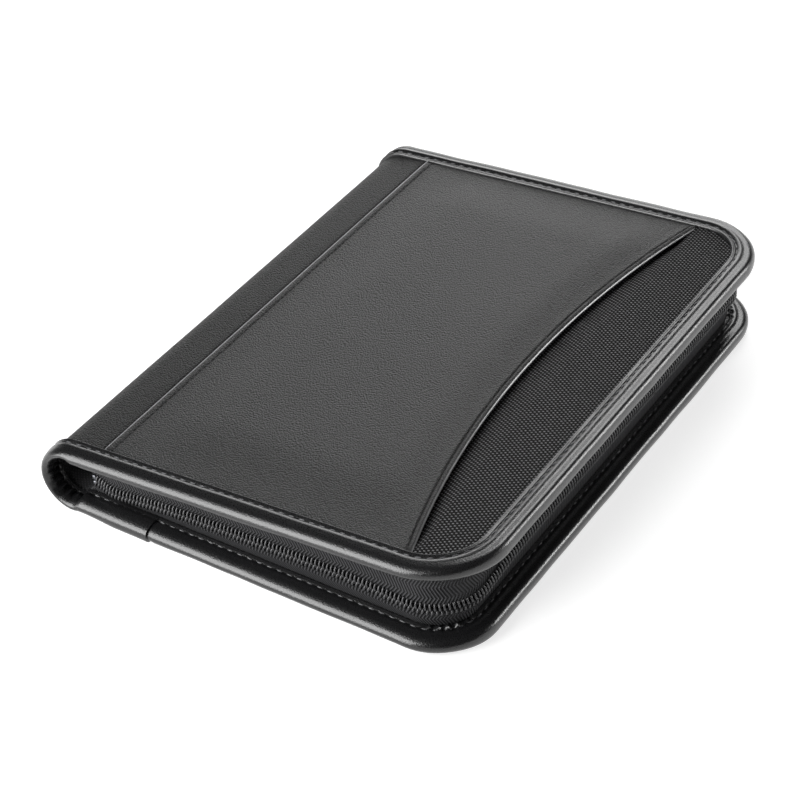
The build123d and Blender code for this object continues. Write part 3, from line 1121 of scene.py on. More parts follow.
# Cloth tape over the pad's glued end: dark blue with a low sheen
pad_tape = speckled(
    "binding_tape", "#1e2430", "#2a3140", roughness=0.6, speck_mm=0.5, depth_mm=0.03
)
paper = ruled_paper()

stitch_tree = stitch_row_tree()
tooth_tree = zip_tooth_tree()
STITCHES = {"Pitch": STITCH_PITCH, "Length": STITCH_LENGTH, "Width": STITCH_WIDTH}
SMALL_STITCHES = {"Pitch": SMALL_PITCH, "Length": SMALL_LENGTH, "Width": STITCH_WIDTH}
SEAM_STITCHES = {"Pitch": SEAM_PITCH, "Length": SEAM_LENGTH, "Width": STITCH_WIDTH}


# Bindings
LIP_EDGE = (0.0, 0.05, 0.15, 0.3, 0.5, 0.75, 1.05, 1.35)
LIP_SAMPLES = (*LIP_EDGE, 1.6, 1.9, 2.2, 2.5, 2.85, 3.25, 3.65, 4.0)


def lip_rise(depth, pressed=0.0):
    """Height of the binding over its face at a depth from the outer edge, on the stitched lip.

    The ridge and the valley beside it are full along the fore edge and flatten round the corners.
    """
    from_lip = BINDING_WIDTH - depth
    rise = BEAD_RISE * bell(from_lip, BEAD_FROM_LIP, BEAD_WIDTH)
    rise -= GROOVE_DEPTH * bell(from_lip, STITCH_FROM_LIP, GROOVE_WIDTH)
    ridge = RIDGE_RISE * bell(from_lip, RIDGE_FROM_LIP, RIDGE_WIDTH)
    ridge -= VALLEY_DEPTH * bell(from_lip, VALLEY_FROM_LIP, VALLEY_WIDTH)
    rise += ridge * (END_RIDGE + (1 - END_RIDGE) * pressed)
    if from_lip < LIP_ROUND:
        rise -= LIP_RISE * (1 - sqrt(1 - (1 - from_lip / LIP_ROUND) ** 2))
    return rise


def binding_section(place, thickness, swell, gather, gathered, pressed=0.0):
    """One section: over the outer lip, round the rolled edge and back along the gathered inner lip.

    Gathered is the depth at which the inner face is gathered most, and how wide that is.
    """
    squareness = ROLL_SQUARENESS + (FORE_SQUARENESS - ROLL_SQUARENESS) * pressed
    roll = ROLL_DEPTH + (FORE_ROLL_DEPTH - ROLL_DEPTH) * pressed
    depths = [BINDING_WIDTH - sample for sample in LIP_SAMPLES]
    depths += divide(depths[-1], roll, FLAT_STEPS)[1:]
    outer = [(depth, lip_rise(depth, pressed)) for depth in depths]
    inner = list(outer)
    for step in range(1, ROLL_STEPS + 1):
        angle = pi / 2 * step / ROLL_STEPS
        depth = roll * (1 - sin(angle) ** (2 / squareness))
        fall = 1 - max(cos(angle), 0.0) ** (2 / squareness)
        rise = lip_rise(depth, pressed) - thickness / 2 * fall
        outer.append((depth, rise))
        if step < ROLL_STEPS:
            inner.append((depth, rise))
    section = []
    for depth, rise in outer:
        out = swell * smooth((BINDING_WIDTH - depth) / SWELL_FADE)
        section.append(place(depth - out * smooth(1 - depth / ROLL_DEPTH), FACE_OUT + rise + out))
    for depth, rise in reversed(inner):
        out = swell * smooth((BINDING_WIDTH - depth) / SWELL_FADE) + gather * bell(depth, *gathered)
        section.append(
            place(depth - out * smooth(1 - depth / ROLL_DEPTH), FACE_OUT - thickness - rise - out)
        )
    return section


def corner_share(station, reach, corner):
    """How far into a rounded corner a station lies, from 0 on the straights to 1 at its middle."""
    u, y, out_u, out_y, run = station
    outward = abs(out_u * out_y) * 2
    return outward if reach - corner <= u else 0.0


def cover_binding(name, point, reach, corner, lap, seed):
    """The binding round three sides of a cover."""
    sections = []
    lap_marks = (LAP_AT - LAP_STEP, LAP_AT, LAP_AT + LAP_STEP, LAP_AT + 2 * LAP_STEP)
    marks = lap_marks if lap else ()
    for station in rounded_edge(reach, HALF_LENGTH, corner, BINDING_START, BINDING_START, marks):
        u, y, out_u, out_y, run = station

        def place(depth, w):
            return point(u - out_u * depth, y - out_y * depth, w)

        swell = ROLL_WAVER * waver(run, seed)
        pinch = max(sin(2 * pi * run / PUCKER_LENGTH), 0.0) ** 2
        gather = corner_share(station, reach, corner) * CORNER_PUCKER * pinch
        if lap and y < 0 and u <= LAP_AT:
            swell += LAP_RISE * smooth((u - BINDING_START) / LAP_FADE)
        if lap and y < 0 and u > LAP_AT:
            swell -= LAP_PRESS * (1 - smooth((u - LAP_AT) / PRESS_FADE))
        pressed = max(out_u, 0.0) ** PRESS_POWER + max(out_y, 0.0) ** PRESS_POWER
        sections.append(
            binding_section(place, COVER_THICKNESS, swell, gather, CORNER_GATHER, pressed)
        )
    return loft(name, sections, binding_leather)


def spine_end_binding(name, side, runs, seed):
    """The binding that loops over one end of the spine, gathered on the inside of the bend."""
    sections = []
    for run in runs:

        def place(depth, w):
            return girth_point(run, side * (HALF_LENGTH - depth), w)

        off_arc = max(-run, run - ARC, 0.0)
        thicker = COVER_THICKNESS - SPINE_THICKNESS
        thickness = SPINE_THICKNESS + thicker * smooth(off_arc / BOARD_STEP)
        bent = 1 - smooth(off_arc / BINDING_START)
        gather = SPINE_PUCKER * bent * sin(2 * pi * run / PUCKER_LENGTH)
        swell = ROLL_WAVER * waver(run, seed)
        pressed = max(side, 0.0)
        sections.append(binding_section(place, thickness, swell, gather, SPINE_GATHER, pressed))
    return loft(name, sections, binding_leather)


row_depth = BINDING_WIDTH - STITCH_FROM_LIP
row_rise = lip_rise(row_depth) + STITCH_WIDTH / 2 - STITCH_SINK


def binding_stitches(name, point, reach, corner):
    """Both rows of a cover binding's stitches, on its outer and on its inner lip."""
    stations = rounded_edge(reach, HALF_LENGTH, corner, BINDING_START, BINDING_START)
    rows = []
    for w in (FACE_OUT + row_rise, FACE_OUT - COVER_THICKNESS - row_rise):
        row = []
        for u, y, out_u, out_y, run in stations:
            row.append(point(u - out_u * row_depth, y - out_y * row_depth, w))
        rows.append(row)
    return laid_along(name, rows, stitch_tree, STITCHES, painted_glint_thread)


def spine_stitches(name, side, runs):
    """The row of stitches on the outer lip over one end of the spine."""
    y = side * (HALF_LENGTH - row_depth)
    row = [girth_point(run, y, FACE_OUT + row_rise) for run in runs]
    return laid_along(name, [row], stitch_tree, STITCHES, painted_glint_thread)


back_half = spread(-BINDING_START, ARC / 2, GIRTH_STEP)
front_half = spread(ARC / 2, ARC + BINDING_START, GIRTH_STEP)
fold_starts = {"back": girth_point(0, 0, FACE_OUT), "front": girth_point(ARC / 2, 0, FACE_OUT)}
fold_ends = {"back": girth_point(ARC / 2, 0, FACE_OUT), "front": girth_point(ARC, 0, FACE_OUT)}
fold_bodies = {"back": ("back_cover", "spine"), "front": ("spine", "front_cover")}


def bend(piece, fold):
    """Bakes the placement of a piece that lies over one of the spine's two folds into its mesh."""
    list(fold_bodies[fold])
    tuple(fold_starts[fold])
    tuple(fold_ends[fold])
    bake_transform(piece)


back_binding = cover_binding(
    "back_binding_roll", back_point, BACK_REACH, BACK_CORNER, True, BACK_ROLL_SEED
)
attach(back_binding, "back_cover")
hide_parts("back_binding")
front_binding = cover_binding(
    "front_binding_roll", front_point, FRONT_REACH, FRONT_CORNER, False, FRONT_ROLL_SEED
)
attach(front_binding, "front_cover")
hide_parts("front_binding")

back_stitches = binding_stitches("back_binding_stitches", back_point, BACK_REACH, BACK_CORNER)
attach(back_stitches, "back_cover")
front_stitches = binding_stitches("front_binding_stitches", front_point, FRONT_REACH, FRONT_CORNER)
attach(front_stitches, "front_cover")

for end, side in (("near", -1), ("far", 1)):
    for fold, runs in (("back", back_half), ("front", front_half)):
        seed = SPINE_ROLL_SEED + side
        rim = spine_end_binding("spine_binding_" + end + "_" + fold, side, runs, seed)
        bend(rim, fold)
        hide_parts("spine_binding")
        bend(spine_stitches("spine_stitches_" + end + "_" + fold, side, runs), fold)


# Covers' leather, nylon and spine leather
HEM_EDGE = (0.0, 0.04, 0.15, 0.35, 0.6)
SEAM_ROW = (2.0, 2.3, 2.5, 2.7, 2.9, 3.1, 3.3, 3.5)
SEAM_SAMPLES = (*HEM_EDGE, 1.0, 1.5, *SEAM_ROW, 4.0, 4.8, 6.2, 8.0)
MOUTH_ROW = (1.25, 1.55, 1.85, 2.1, 2.35, 2.65, 3.0)
MOUTH_SAMPLES = (*HEM_EDGE, 0.95, *MOUTH_ROW, 3.6, 4.6, 6.0, 8.0)


def hem_height(inside, stitch, groove=HEM_GROOVE):
    """Height of a folded, stitched edge over the flat leather, at a distance in from the fold."""
    if inside < stitch:
        height = HEM_PAST + (HEM_PUFF - HEM_PAST) * sin(pi * inside / stitch)
    else:
        height = HEM_PAST * (1 - smooth((inside - stitch) / HEM_FADE))
    height -= groove * bell(inside, stitch, GROOVE_WIDTH)
    if inside < HEM_ROUND:
        height -= (LEATHER + HEM_PAST) * (1 - sqrt(1 - (1 - inside / HEM_ROUND) ** 2))
    return height


def crown(u, y, first, last):
    """How far padding swells a panel between its held edges."""
    side = smooth((HALF_LENGTH - BINDING_WIDTH - abs(y)) / PANEL_SHOULDER)
    across = smooth((u - first) / PANEL_SHOULDER) * smooth((last - u) / MOUTH_SHOULDER)
    uneven = UNEVEN * noise.noise(Vector((u / UNEVEN_U, y / UNEVEN_Y, first)))
    return PANEL_CROWN * side * across + uneven


def held_edge(y):
    """1 in the open panel, falling to 0 where the binding's lip presses it down."""
    return smooth((HALF_LENGTH - BINDING_WIDTH + HELD_PAST - abs(y)) / HELD_FADE)


def mouth(y):
    """Where the pocket's mouth lies at one place along the spine."""
    return POCKET_CENTRE_U - sqrt(POCKET_RADIUS**2 - (y - POCKET_CENTRE_Y) ** 2)


panel_side = HALF_LENGTH - BINDING_WIDTH + UNDER_LIP
panel_rows = spread(-panel_side, panel_side, PANEL_STEP / 2)


def front_panel():
    """The front leather from spine seam to pocket mouth, both edges turned and stitched."""
    thin = LEATHER_OUT + HEM_PAST - MOUTH_LEATHER
    sections = []
    for y in panel_rows:
        last = mouth(y)
        columns = [SEAM_OFFSET + e for e in SEAM_SAMPLES]
        columns += divide(SEAM_OFFSET + PLAIN_INSET, last - PLAIN_INSET, PANEL_COLUMNS)
        columns += [last - e for e in reversed(MOUTH_SAMPLES)]
        top = []
        for u in columns:
            hems = hem_height(u - SEAM_OFFSET, HEM_STITCH, SEAM_GROOVE)
            hems += hem_height(last - u, MOUTH_STITCH)
            edge = held_edge(y)
            share = edge if min(u - SEAM_OFFSET, last - u) > HEM_ROUND else 1.0
            lift = LEATHER + share * hems
            swell = crown(u, y, SEAM_OFFSET, last)
            w = LEATHER_IN + lift + swell * edge - HELD_SINK * (1 - edge)
            top.append(front_point(u, y, w))
        under = [front_point(last - e, y, thin) for e in UNDER_MOUTH]
        for u in divide(last - POCKET_UNDERLAP, SEAM_OFFSET + UNDER_INSET, UNDER_COLUMNS):
            under.append(front_point(u, y, NYLON_IN + LAYER_GAP))
        sections.append(top + under)
    return loft("front_panel", sections, cover_leather)


def nylon_panel():
    """The nylon behind the pocket: low beside the mouth, drawn up to the binding's lip."""
    inset = BINDING_WIDTH - UNDER_LIP
    sections = []
    for y in panel_rows:
        edge = mouth(y)
        first = edge - POCKET_UNDERLAP
        last = outline_reach(FRONT_REACH, FRONT_CORNER, inset, y)
        open_share = max(1 - (y / (HALF_LENGTH - BINDING_WIDTH)) ** 2, 0.0)
        crest = edge + NYLON_CREST + (NYLON_SLOPE - NYLON_CREST) * open_share
        deep = NYLON_DROP * smooth(open_share * NYLON_DEEPENS)
        columns = divide(first, edge - NYLON_CREST, UNDER_COLUMNS)
        columns += divide(edge, crest, SLOPE_COLUMNS)
        columns += divide(crest, last, PANEL_COLUMNS)[1:]
        top = []
        for u in columns:
            drop = deep * min(max((crest - u) / (crest - edge), 0.0), 1.0) ** NYLON_CURL
            spot = Vector((u / WAVER_LENGTH, y / WAVER_LENGTH, NYLON_SEED))
            waves = NYLON_WAVER * noise.noise(spot)
            top.append(front_point(u, y, NYLON_OUT - drop + waves))
        under_columns = divide(last, first, UNDER_COLUMNS)
        under = [front_point(u, y, BOARD_OUT + LAYER_GAP) for u in under_columns]
        sections.append(top + under)
    return loft("pocket_nylon_panel", sections, pocket_nylon, from_above=True)


def back_panel():
    """The back leather from the spine seam to the binding."""
    inset = BINDING_WIDTH - UNDER_LIP
    sections = []
    for y in panel_rows:
        last = outline_reach(BACK_REACH, BACK_CORNER, inset, y)
        columns = [SEAM_OFFSET + e for e in SEAM_SAMPLES]
        columns += divide(SEAM_OFFSET + PLAIN_INSET, last, PANEL_COLUMNS)
        top = []
        for u in columns:
            hems = hem_height(u - SEAM_OFFSET, HEM_STITCH, SEAM_GROOVE)
            edge = held_edge(y) * smooth((last - UNDER_LIP + HELD_PAST - u) / HELD_FADE)
            share = edge if u - SEAM_OFFSET > HEM_ROUND else 1.0
            lift = LEATHER + share * hems
            top.append(back_point(u, y, LEATHER_IN + lift - HELD_SINK * (1 - edge)))
        under_columns = divide(last - UNDER_INSET, SEAM_OFFSET + UNDER_INSET, UNDER_COLUMNS)
        under = [back_point(u, y, LEATHER_IN - BACK_UNDER) for u in under_columns]
        sections.append(top + under)
    return loft("back_panel", sections, cover_leather)


def spine_leather(name, runs):
    """Half of the strip that wraps the spine, thinned where it runs under a cover's seam."""
    sections = []
    across = spread(-panel_side, panel_side, 2 * PANEL_STEP)
    for run in runs:
        past = max(-run, run - ARC, 0.0)
        top_w = LEATHER_OUT - SEAM_TUCK * smooth((past - SEAM_OFFSET + SEAM_GAP) / SEAM_GAP)
        top_w -= SPINE_DROP * min(max((SEAM_OFFSET - past) / SEAM_OFFSET, 0.0), 1.0) ** 2
        top = []
        for y in across:
            spot = Vector((run / WRINKLE_RUN, y / WRINKLE_Y, WRAP_SEED))
            wrinkle = WRINKLE * noise.noise(spot) * held_edge(y)
            top.append(girth_point(run, y, top_w + wrinkle))
        under = [girth_point(run, y, LEATHER_IN - WRAP_UNDER) for y in reversed(across)]
        sections.append(top + under)
    return loft(name, sections, spine_hide_painted_shade)


mouth_top = LEATHER_OUT + hem_height(MOUTH_STITCH, MOUTH_STITCH)
stitch_w = mouth_top + STITCH_WIDTH / 2 - SEAM_SINK
seam_top = LEATHER_OUT + hem_height(HEM_STITCH, HEM_STITCH, SEAM_GROOVE)
seam_w = seam_top + STITCH_WIDTH / 2 - SEAM_SINK
row_side = HALF_LENGTH - BINDING_WIDTH - ROW_INSET
row_places = spread(-row_side, row_side, PANEL_STEP)


def turned_edge(name, point, edge, facing, fold, top, material):
    """Leather's turned edge, a thin shiny fold that faces the fore-edge (1) or the spine (-1)."""
    half_wide, half_thick, tilt = fold
    sections = []
    side = HALF_LENGTH - BINDING_WIDTH
    for y in spread(-side, side, PANEL_STEP / 2):
        centre_u = edge(y) - facing * half_thick
        centre_w = LEATHER_OUT + top - half_wide * sin(tilt) - half_thick * (1 - held_edge(y))
        section = []
        for angle in divide(0.0, facing * 2 * pi, FOLD_SIDES)[:-1]:
            along, out = half_wide * cos(angle), half_thick * sin(angle)
            u = centre_u + facing * (along * cos(tilt) + out * sin(tilt))
            section.append(point(u, y, centre_w - along * sin(tilt) + out * cos(tilt)))
        sections.append(section)
    return loft(name, sections, material)


def seam_edge(y):
    """Where the turned edge lies beside the spine seam, the same all along it."""
    return SEAM_OFFSET + SEAM_FOLD_IN


def seam_row(name, row, sizes):
    """A row of stitches in waxed thread."""
    return laid_along(name, [row], stitch_tree, sizes, seam_thread)


panel = front_panel()
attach(panel, "front_cover")
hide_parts("front_leather", "front_pocket_hem", "front_interlining", "front_foam")
mouth_row = [front_point(mouth(y) - MOUTH_STITCH, y, stitch_w) for y in row_places]
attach(seam_row("mouth_stitches", mouth_row, SMALL_STITCHES), "front_cover")
front_row = [front_point(SEAM_OFFSET + HEM_STITCH, y, seam_w) for y in row_places]
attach(seam_row("front_seam_stitches", front_row, SEAM_STITCHES), "front_cover")

# The seam folds take the pale leather, a painted highlight along the seam
seam_form = (seam_edge, -1, SEAM_FOLD, SEAM_FOLD_TOP, painted_highlight_edge)
turned_edges = (
    ("mouth_fold", "front_cover", front_point, mouth, 1, MOUTH_FOLD, HEM_PAST, burnished_edge),
    ("front_seam_fold", "front_cover", front_point, *seam_form),
    ("back_seam_fold", "back_cover", back_point, *seam_form),
)
for name, body, *form in turned_edges:
    turned = turned_edge(name, *form)
    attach(turned, body)

nylon = nylon_panel()
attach(nylon, "front_cover")
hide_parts("front_pocket_nylon")

under_panel = back_panel()
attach(under_panel, "back_cover")
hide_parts("back_leather", "back_foam")
back_row = [back_point(SEAM_OFFSET + HEM_STITCH, y, seam_w) for y in row_places]
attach(seam_row("back_seam_stitches", back_row, SEAM_STITCHES), "back_cover")

tuck_runs = divide(SEAM_OFFSET - SEAM_GAP, SEAM_OFFSET + UNDER_SEAM, TUCK_STEPS)
back_runs = [-run for run in reversed(tuck_runs)]
back_runs += spread(-tuck_runs[0], ARC / 2, GIRTH_STEP)[1:]
front_runs = spread(ARC / 2, ARC + tuck_runs[0], GIRTH_STEP)[:-1]
front_runs += [ARC + run for run in tuck_runs]
for fold, runs in (("back", back_runs), ("front", front_runs)):
    wrap = spine_leather("spine_leather_" + fold, runs)
    bend(wrap, fold)
    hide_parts(fold + "_spine_wrap", "spine_leather")


# Zip
def zip_sag(u, y):
    """How far the zip dips where it starts at the near edge and where it turns the near corner."""
    from_corner = hypot(u - ZIP_FORE + CORNER_SAG_IN, y + ZIP_SIDE - CORNER_SAG_IN)
    sag = -CORNER_SAG * bell(from_corner, 0.0, CORNER_SAG_LENGTH)
    if y < 0:
        sag -= START_SAG * bell(u, START_SAG_AT, START_SAG_LENGTH)
    return sag


def zip_bulge(u, y, out_u):
    """How far the pages press the zip out: less at its near end, not along the slider's run."""
    if y > 0:
        return ZIP_BULGE * out_u**2
    return ZIP_BULGE * (START_BULGE + (1 - START_BULGE) * smooth((u - ZIP_START) / START_EASE))


def zip_tape(name, side):
    """A tape from the coil to the lining, with its sewn flange turned in flat on the lining."""
    sections = []
    stations = rounded_edge(ZIP_FORE, ZIP_SIDE, ZIP_CORNER, ZIP_START, ZIP_START)
    for u, y, out_u, out_y, run in stations:
        edge = side * TAPE_EDGE + zip_sag(u, y)
        top = side * (LINING_IN - TAPE / 2 + u * sin(WEDGE / 2))
        bulge = zip_bulge(u, y, out_u)
        bow = TAPE_BOW * bulge / ZIP_BULGE * (1 + BOW_WAVER * waver(run, TAPE_SEED + side))
        centres = []
        for share in divide(0.0, 1.0, TAPE_COLUMNS):
            out = bulge * (1 - share) + TAPE_FOOT * share**2 + bow * sin(pi * share)
            centres.append((out, edge + (top - edge) * share))
        centres.append((TAPE_FOOT + TAPE_FLANGE, top))
        flat = ribbon(centres, TAPE)
        sections.append([zip_point(u + out_u * x, y + out_y * x, w) for x, w in flat])
    return loft(name, sections, zip_tape_cloth)


def coil_path(first, last, shift):
    """The line that the teeth stand on, just outside the tapes, shifted by part of a pitch."""
    line = []
    stations = rounded_edge(ZIP_FORE, ZIP_SIDE, ZIP_CORNER, first + shift, last)
    for u, y, out_u, out_y, run in stations:
        out = zip_bulge(u, y, out_u) + TAPE
        line.append(zip_point(u + out_u * out, y + out_y * out, zip_sag(u, y)))
    return line


def zip_stop(name, side, u, y):
    """A metal clip pressed over the edge of a tape where its coil ends."""
    sections = []
    facing = 1 if y > 0 else -1
    for share, swell in STOP_PROFILE:
        at = u - STOP_LENGTH * share
        out = zip_bulge(at, y, 0.0) + TAPE / 2
        ring = []
        for angle in divide(0.0, 2 * pi, STOP_SIDES)[:-1]:
            across = STOP_DEPTH / 2 * swell * squared(cos(angle))
            up = STOP_HEIGHT / 2 * swell * squared(sin(angle))
            w = side * (STOP_GAP + STOP_HEIGHT / 2) + up + zip_sag(at, y)
            ring.append(zip_point(at, y + facing * (out + across), w))
        sections.append(ring)
    return loft(name, sections, zip_metal)


for name, body, side in (("back", "back_cover", -1), ("front", "front_cover", 1)):
    tape = zip_tape(name + "_tape", side)
    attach(tape, body)
    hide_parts(name + "_zip_tape")
    shift = TOOTH_PITCH / 2 if side > 0 else 0.0
    teeth = laid_along(
        name + "_coil",
        [coil_path(COIL_FIRST, COIL_LAST, shift)],
        tooth_tree,
        {
            "Pitch": TOOTH_PITCH,
            "Foot": side * COIL_FOOT,
            "Tip": side * COIL_TIP,
            "Bulge": COIL_BULGE,
            "Wire": COIL_WIRE,
            "Slant": TOOTH_SLANT,
        },
        coil_nylon,
    )
    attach(teeth, body)
    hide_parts(name + "_zip_coil")
    for end, u, y in (("near", COIL_FIRST, -ZIP_SIDE), ("far", COIL_LAST, ZIP_SIDE)):
        stop = zip_stop(name + "_stop_" + end, side, u, y)
        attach(stop, body)
        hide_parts(name + "_zip_stops")


# Linings
def cover_lining(name, point, reach, corner):
    """The lining over a cover's board, from the spine to under the inner lip of the binding."""
    inset = BINDING_WIDTH - UNDER_LIP
    sections = []
    for y in panel_rows:
        last = outline_reach(reach, corner, inset, y)
        columns = divide(BINDING_START, last, PANEL_COLUMNS)
        top = []
        for u in columns:
            ripple = RIPPLE * noise.noise(Vector((u / RIPPLE_LENGTH, y / RIPPLE_LENGTH, reach)))
            top.append(point(u, y, LINING_IN + ripple * held_edge(y)))
        under = [point(u, y, BOARD_IN) for u in reversed(columns)]
        sections.append(top + under)
    return loft(name, sections, lining_cloth, from_above=True)


def spine_lining(name, runs):
    """Half of the lining across the spine, stepping down from a board's edge at the cover's end."""
    across = spread(-panel_side, panel_side, 2 * PANEL_STEP)
    sections = []
    for run in runs:
        past = max(-run, run - ARC, 0.0)
        top_w = SPINE_LINING_IN - (SPINE_LINING_IN - LINING_IN) * smooth(past / BOARD_STEP)
        top = [girth_point(run, y, top_w) for y in across]
        under = [girth_point(run, y, top_w + BOARD_IN - LINING_IN) for y in reversed(across)]
        sections.append(top + under)
    return loft(name, sections, lining_cloth)


back_lining_runs = [-BINDING_START] + divide(-BOARD_STEP, 0.0, STEP_ROWS)
back_lining_runs += spread(0.0, ARC / 2, GIRTH_STEP)[1:]
lining_runs = {"back": back_lining_runs, "front": [ARC - run for run in reversed(back_lining_runs)]}
for name, body, point, reach, corner in (
    ("back", "back_cover", back_point, BACK_REACH, BACK_CORNER),
    ("front", "front_cover", front_point, FRONT_REACH, FRONT_CORNER),
):
    lining = cover_lining(name + "_lining_cloth", point, reach, corner)
    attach(lining, body)
    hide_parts(name + "_lining")
    half = spine_lining("spine_lining_" + name, lining_runs[name])
    bend(half, name)
    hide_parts("spine_lining")


# Pockets and pen loop inside
def flat_pocket(name, point, u_span, y_span, w_span, finish):
    """A sewn-down pocket: soft at its edges, with a folded, stitched hem at its open +Y end."""
    inner, outer = w_span
    rows = [y_span[0] + e for e in POCKET_EDGE]
    rows += spread(y_span[0] + POCKET_PLAIN, y_span[1] - POCKET_HEM_START, 2 * PANEL_STEP)
    rows += [y_span[1] - e for e in POCKET_HEM]
    columns = [u_span[0] + e for e in POCKET_EDGE]
    columns += spread(u_span[0] + POCKET_PLAIN, u_span[1] - POCKET_PLAIN, 2 * PANEL_STEP)
    columns += [u_span[1] - e for e in reversed(POCKET_EDGE)]
    sections = []
    for y in rows:
        groove = POCKET_GROOVE * bell(y_span[1] - y, HEM_STITCH, POCKET_GROOVE_WIDTH)
        top = []
        for u in columns:
            edge = min(u - u_span[0], u_span[1] - u, y - y_span[0], y_span[1] - y)
            round_off = POCKET_ROUND * (1 - sqrt(1 - (1 - min(edge / POCKET_ROUND, 1.0)) ** 2))
            top.append(point(u, y, inner + round_off + groove))
        under = [point(u, y, outer) for u in reversed(columns)]
        sections.append(top + under)
    return loft(name, sections, finish)


def pocket_stitches(name, point, u_span, y_span, w):
    """Stitches along a pocket's two sides and bottom, and across its hem."""
    left, right = u_span[0] + POCKET_STITCH_IN, u_span[1] - POCKET_STITCH_IN
    low, high = y_span[0] + POCKET_STITCH_IN, y_span[1] - HEM_STITCH
    end = y_span[1] - POCKET_STITCH_END
    around = [point(left, y, w) for y in spread(end, low, PANEL_STEP)]
    around += [point(u, low, w) for u in spread(left, right, PANEL_STEP)[1:]]
    around += [point(right, y, w) for y in spread(low, end, PANEL_STEP)[1:]]
    hem = [point(u, high, w) for u in spread(left, right, PANEL_STEP)]
    return laid_along(name, [around, hem], stitch_tree, SMALL_STITCHES, painted_glint_thread)


pockets = [
    ("pad_pocket", "back_lining_cloth", back_point, PAD_POCKET_U, PAD_POCKET_Y, PAD_POCKET_W),
    ("document_pocket", "front_lining_cloth", front_point, DOCUMENT_U, DOCUMENT_Y, DOCUMENT_W),
]
for tier in range(CARD_TIERS):
    slot_top = CARD_LOW + CARD_LENGTH - tier * CARD_STEP
    slot_w = DOCUMENT_W[0] - tier * CARD_SLOT
    pockets.append(
        (
            "card_slot_" + str(tier + 1),
            "document_pocket_leather",
            front_point,
            CARD_U,
            (CARD_LOW, slot_top),
            (slot_w - CARD_SLOT, slot_w),
        )
    )
for name, carrier, point, u_span, y_span, w_span in pockets:
    body = "back_cover" if point is back_point else "front_cover"
    pocket = flat_pocket(name + "_leather", point, u_span, y_span, w_span, inner_leather)
    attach(pocket, body)
    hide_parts(name)
    stitch_height = w_span[0] - POCKET_STITCH_OUT
    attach(pocket_stitches(name + "_stitches", point, u_span, y_span, stitch_height), body)


def pen_loop():
    """A loop of elastic web, a little flat where it is sewn down."""
    radius = PEN_BORE + PEN_WALL / 2
    centre_w = LINING_IN - PEN_BORE - PEN_WALL
    rim = ribbon([(PEN_Y[0], 0.0), (sum(PEN_Y) / 2, 0.0), (PEN_Y[1], 0.0)], PEN_WALL)
    sections = []
    for step in range(PEN_STEPS):
        angle = 2 * pi * step / PEN_STEPS
        section = []
        for y, off in rim:
            reach = radius + off
            section.append(back_point(PEN_U + reach * sin(angle), y, centre_w - reach * cos(angle)))
        sections.append(section)
    return loft("pen_loop_elastic", sections, elastic_web, ring=True)


loop = pen_loop()
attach(loop, "back_cover")
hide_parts("pen_loop")


# CAD pieces that stay, with their finishes
kept_finishes = {
    "back_board": grey_board,
    "front_board": grey_board,
    "zip_slider_body": zip_metal,
    "zip_slider_bridge": zip_metal,
    "zip_pull": zip_metal,
    "pad_card": pad_card,
    "pad_sheets": paper,
    "pad_header": pad_tape,
}
for name, finish in kept_finishes.items():
    for held in nodes[name].material_slots:
        held.link = "OBJECT"
        held.material = finish


# Floor and light, in metres and watts; a soft box has its place, its width and its power
FLOOR_SIZE = 8.0
FLOOR_COLOUR = "#c4c4c4"
FLOOR_GLOW = 0.7
FLOOR_HEIGHT = -0.0008
WHITE_LIGHT = "#ffffff"
BRIGHT_UP_TO = -0.05
DIM_FROM = 0.22
BRIGHT = 1.0
DIM = 0.04
SOFT_BOXES = {
    "back_box": ((-0.72, 1.28, 0.5), 0.9, 7.6),
    "top_back_box": ((-0.24, 1.0, 1.1), 0.6, 8.0),
    "front_left_box": ((-0.55, -0.95, 0.5), 1.0, 28.0),
    "right_box": ((0.88, 0.76, 0.3), 0.4, 7.0),
}


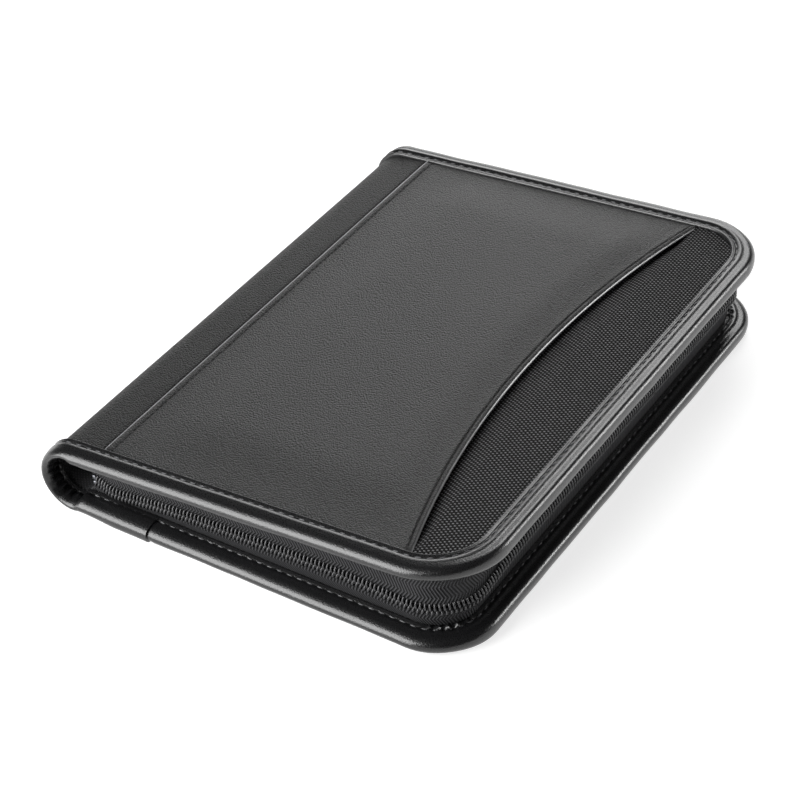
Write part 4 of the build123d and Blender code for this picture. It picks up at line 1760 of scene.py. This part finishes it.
def white_floor():
    """A pale studio floor that looks white to the camera and keeps a soft shadow."""
    mesh = bpy.data.meshes.new("studio_floor")
    reach = FLOOR_SIZE / 2
    corners = [(-reach, -reach), (reach, -reach), (reach, reach), (-reach, reach)]
    mesh.from_pydata([(x, y, FLOOR_HEIGHT) for x, y in corners], [], [(0, 1, 2, 3)])
    made, tree, shader = finish_tree(
        "studio_floor_paper", FLOOR_COLOUR, 1.0, Specular_IOR_Level=0.0
    )
    light = add(tree, "ShaderNodeLightPath")
    seen = add(
        tree,
        "ShaderNodeMath",
        links={0: light.outputs["Is Camera Ray"], 1: light.outputs["Is Glossy Ray"]},
        operation="ADD",
    )
    through = add(
        tree,
        "ShaderNodeMath",
        links={0: seen.outputs[0], 1: light.outputs["Is Transmission Ray"]},
        operation="ADD",
    )
    glow = add(
        tree,
        "ShaderNodeMath",
        values={1: FLOOR_GLOW},
        links={0: through.outputs[0]},
        operation="MULTIPLY",
    )
    shader.inputs["Emission Color"].default_value = linear(WHITE_LIGHT)
    tree.links.new(glow.outputs[0], shader.inputs["Emission Strength"])
    floor = bpy.data.objects.new("studio_floor", mesh)
    mesh.materials.append(made)
    bpy.context.scene.collection.objects.link(floor)
    floor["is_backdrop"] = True


def studio_world():
    """A studio that is bright near the floor and dim overhead."""
    world = bpy.data.worlds.new("studio")
    world.use_nodes = True
    tree = world.node_tree
    place = add(tree, "ShaderNodeTexCoord")
    parts = add(tree, "ShaderNodeSeparateXYZ", links={"Vector": place.outputs["Generated"]})
    height = add(
        tree,
        "ShaderNodeMapRange",
        values={
            "From Min": BRIGHT_UP_TO,
            "From Max": DIM_FROM,
            "To Min": BRIGHT,
            "To Max": DIM,
        },
        links={"Value": parts.outputs["Z"]},
        interpolation_type="SMOOTHSTEP",
    )
    back = tree.nodes["Background"]
    back.inputs["Color"].default_value = linear(WHITE_LIGHT)
    tree.links.new(height.outputs["Result"], back.inputs["Strength"])
    bpy.context.scene.world = world


def soft_box(name, place, size, power):
    """A square area lamp that faces the folio."""
    lamp = bpy.data.lights.new(name, "AREA")
    lamp.shape = "SQUARE"
    lamp.size = size
    lamp.energy = power
    held = bpy.data.objects.new(name, lamp)
    away = Vector(place)
    held.location = away
    held.rotation_euler = (-away).to_track_quat("-Z", "Y").to_euler()
    bpy.context.scene.collection.objects.link(held)


white_floor()
studio_world()
for name, (place, size, power) in SOFT_BOXES.items():
    soft_box(name, place, size, power)

# Camera, as fitted to the photograph: millimetres and radians, in a picture 800 wide
PICTURE_WIDTH = 800
FOCAL_PIXELS = 2330.8
CAMERA_AZIMUTH = radians(33.19)
CAMERA_ELEVATION = radians(37.98)
CAMERA_ROLL = radians(-1.973)
CAMERA_DISTANCE = 900.16
CAMERA_TARGET = (-8.839, -2.945, 0.0)
SENSOR_WIDTH = 36.0
NEAREST_SEEN = 0.01


def photo_camera():
    """The camera that took the photograph, placed by its target, distance and angles."""
    azimuth, elevation = CAMERA_AZIMUTH, CAMERA_ELEVATION
    flat = cos(elevation)
    toward = Vector((sin(azimuth) * flat, -cos(azimuth) * flat, sin(elevation)))
    level = Vector((cos(azimuth), sin(azimuth), 0))
    upright = toward.cross(level)
    right = level * cos(CAMERA_ROLL) + upright * sin(CAMERA_ROLL)
    up = upright * cos(CAMERA_ROLL) - level * sin(CAMERA_ROLL)
    lens = bpy.data.cameras.new("photo_camera")
    lens.sensor_width = SENSOR_WIDTH
    lens.lens = FOCAL_PIXELS * SENSOR_WIDTH / PICTURE_WIDTH
    lens.clip_start = NEAREST_SEEN
    camera = bpy.data.objects.new("photo_camera", lens)
    turned = Matrix((right, up, toward)).transposed().to_4x4()
    turned.translation = (Vector(CAMERA_TARGET) + toward * CAMERA_DISTANCE) * MM
    camera.matrix_world = turned
    bpy.context.scene.collection.objects.link(camera)
    bpy.context.scene.camera = camera


photo_camera()
bpy.context.scene.view_settings.view_transform = "Standard"

boxes = {"cad": cad_box, "visual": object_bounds()}
{name: [list(corner) for corner in box] for name, box in boxes.items()}
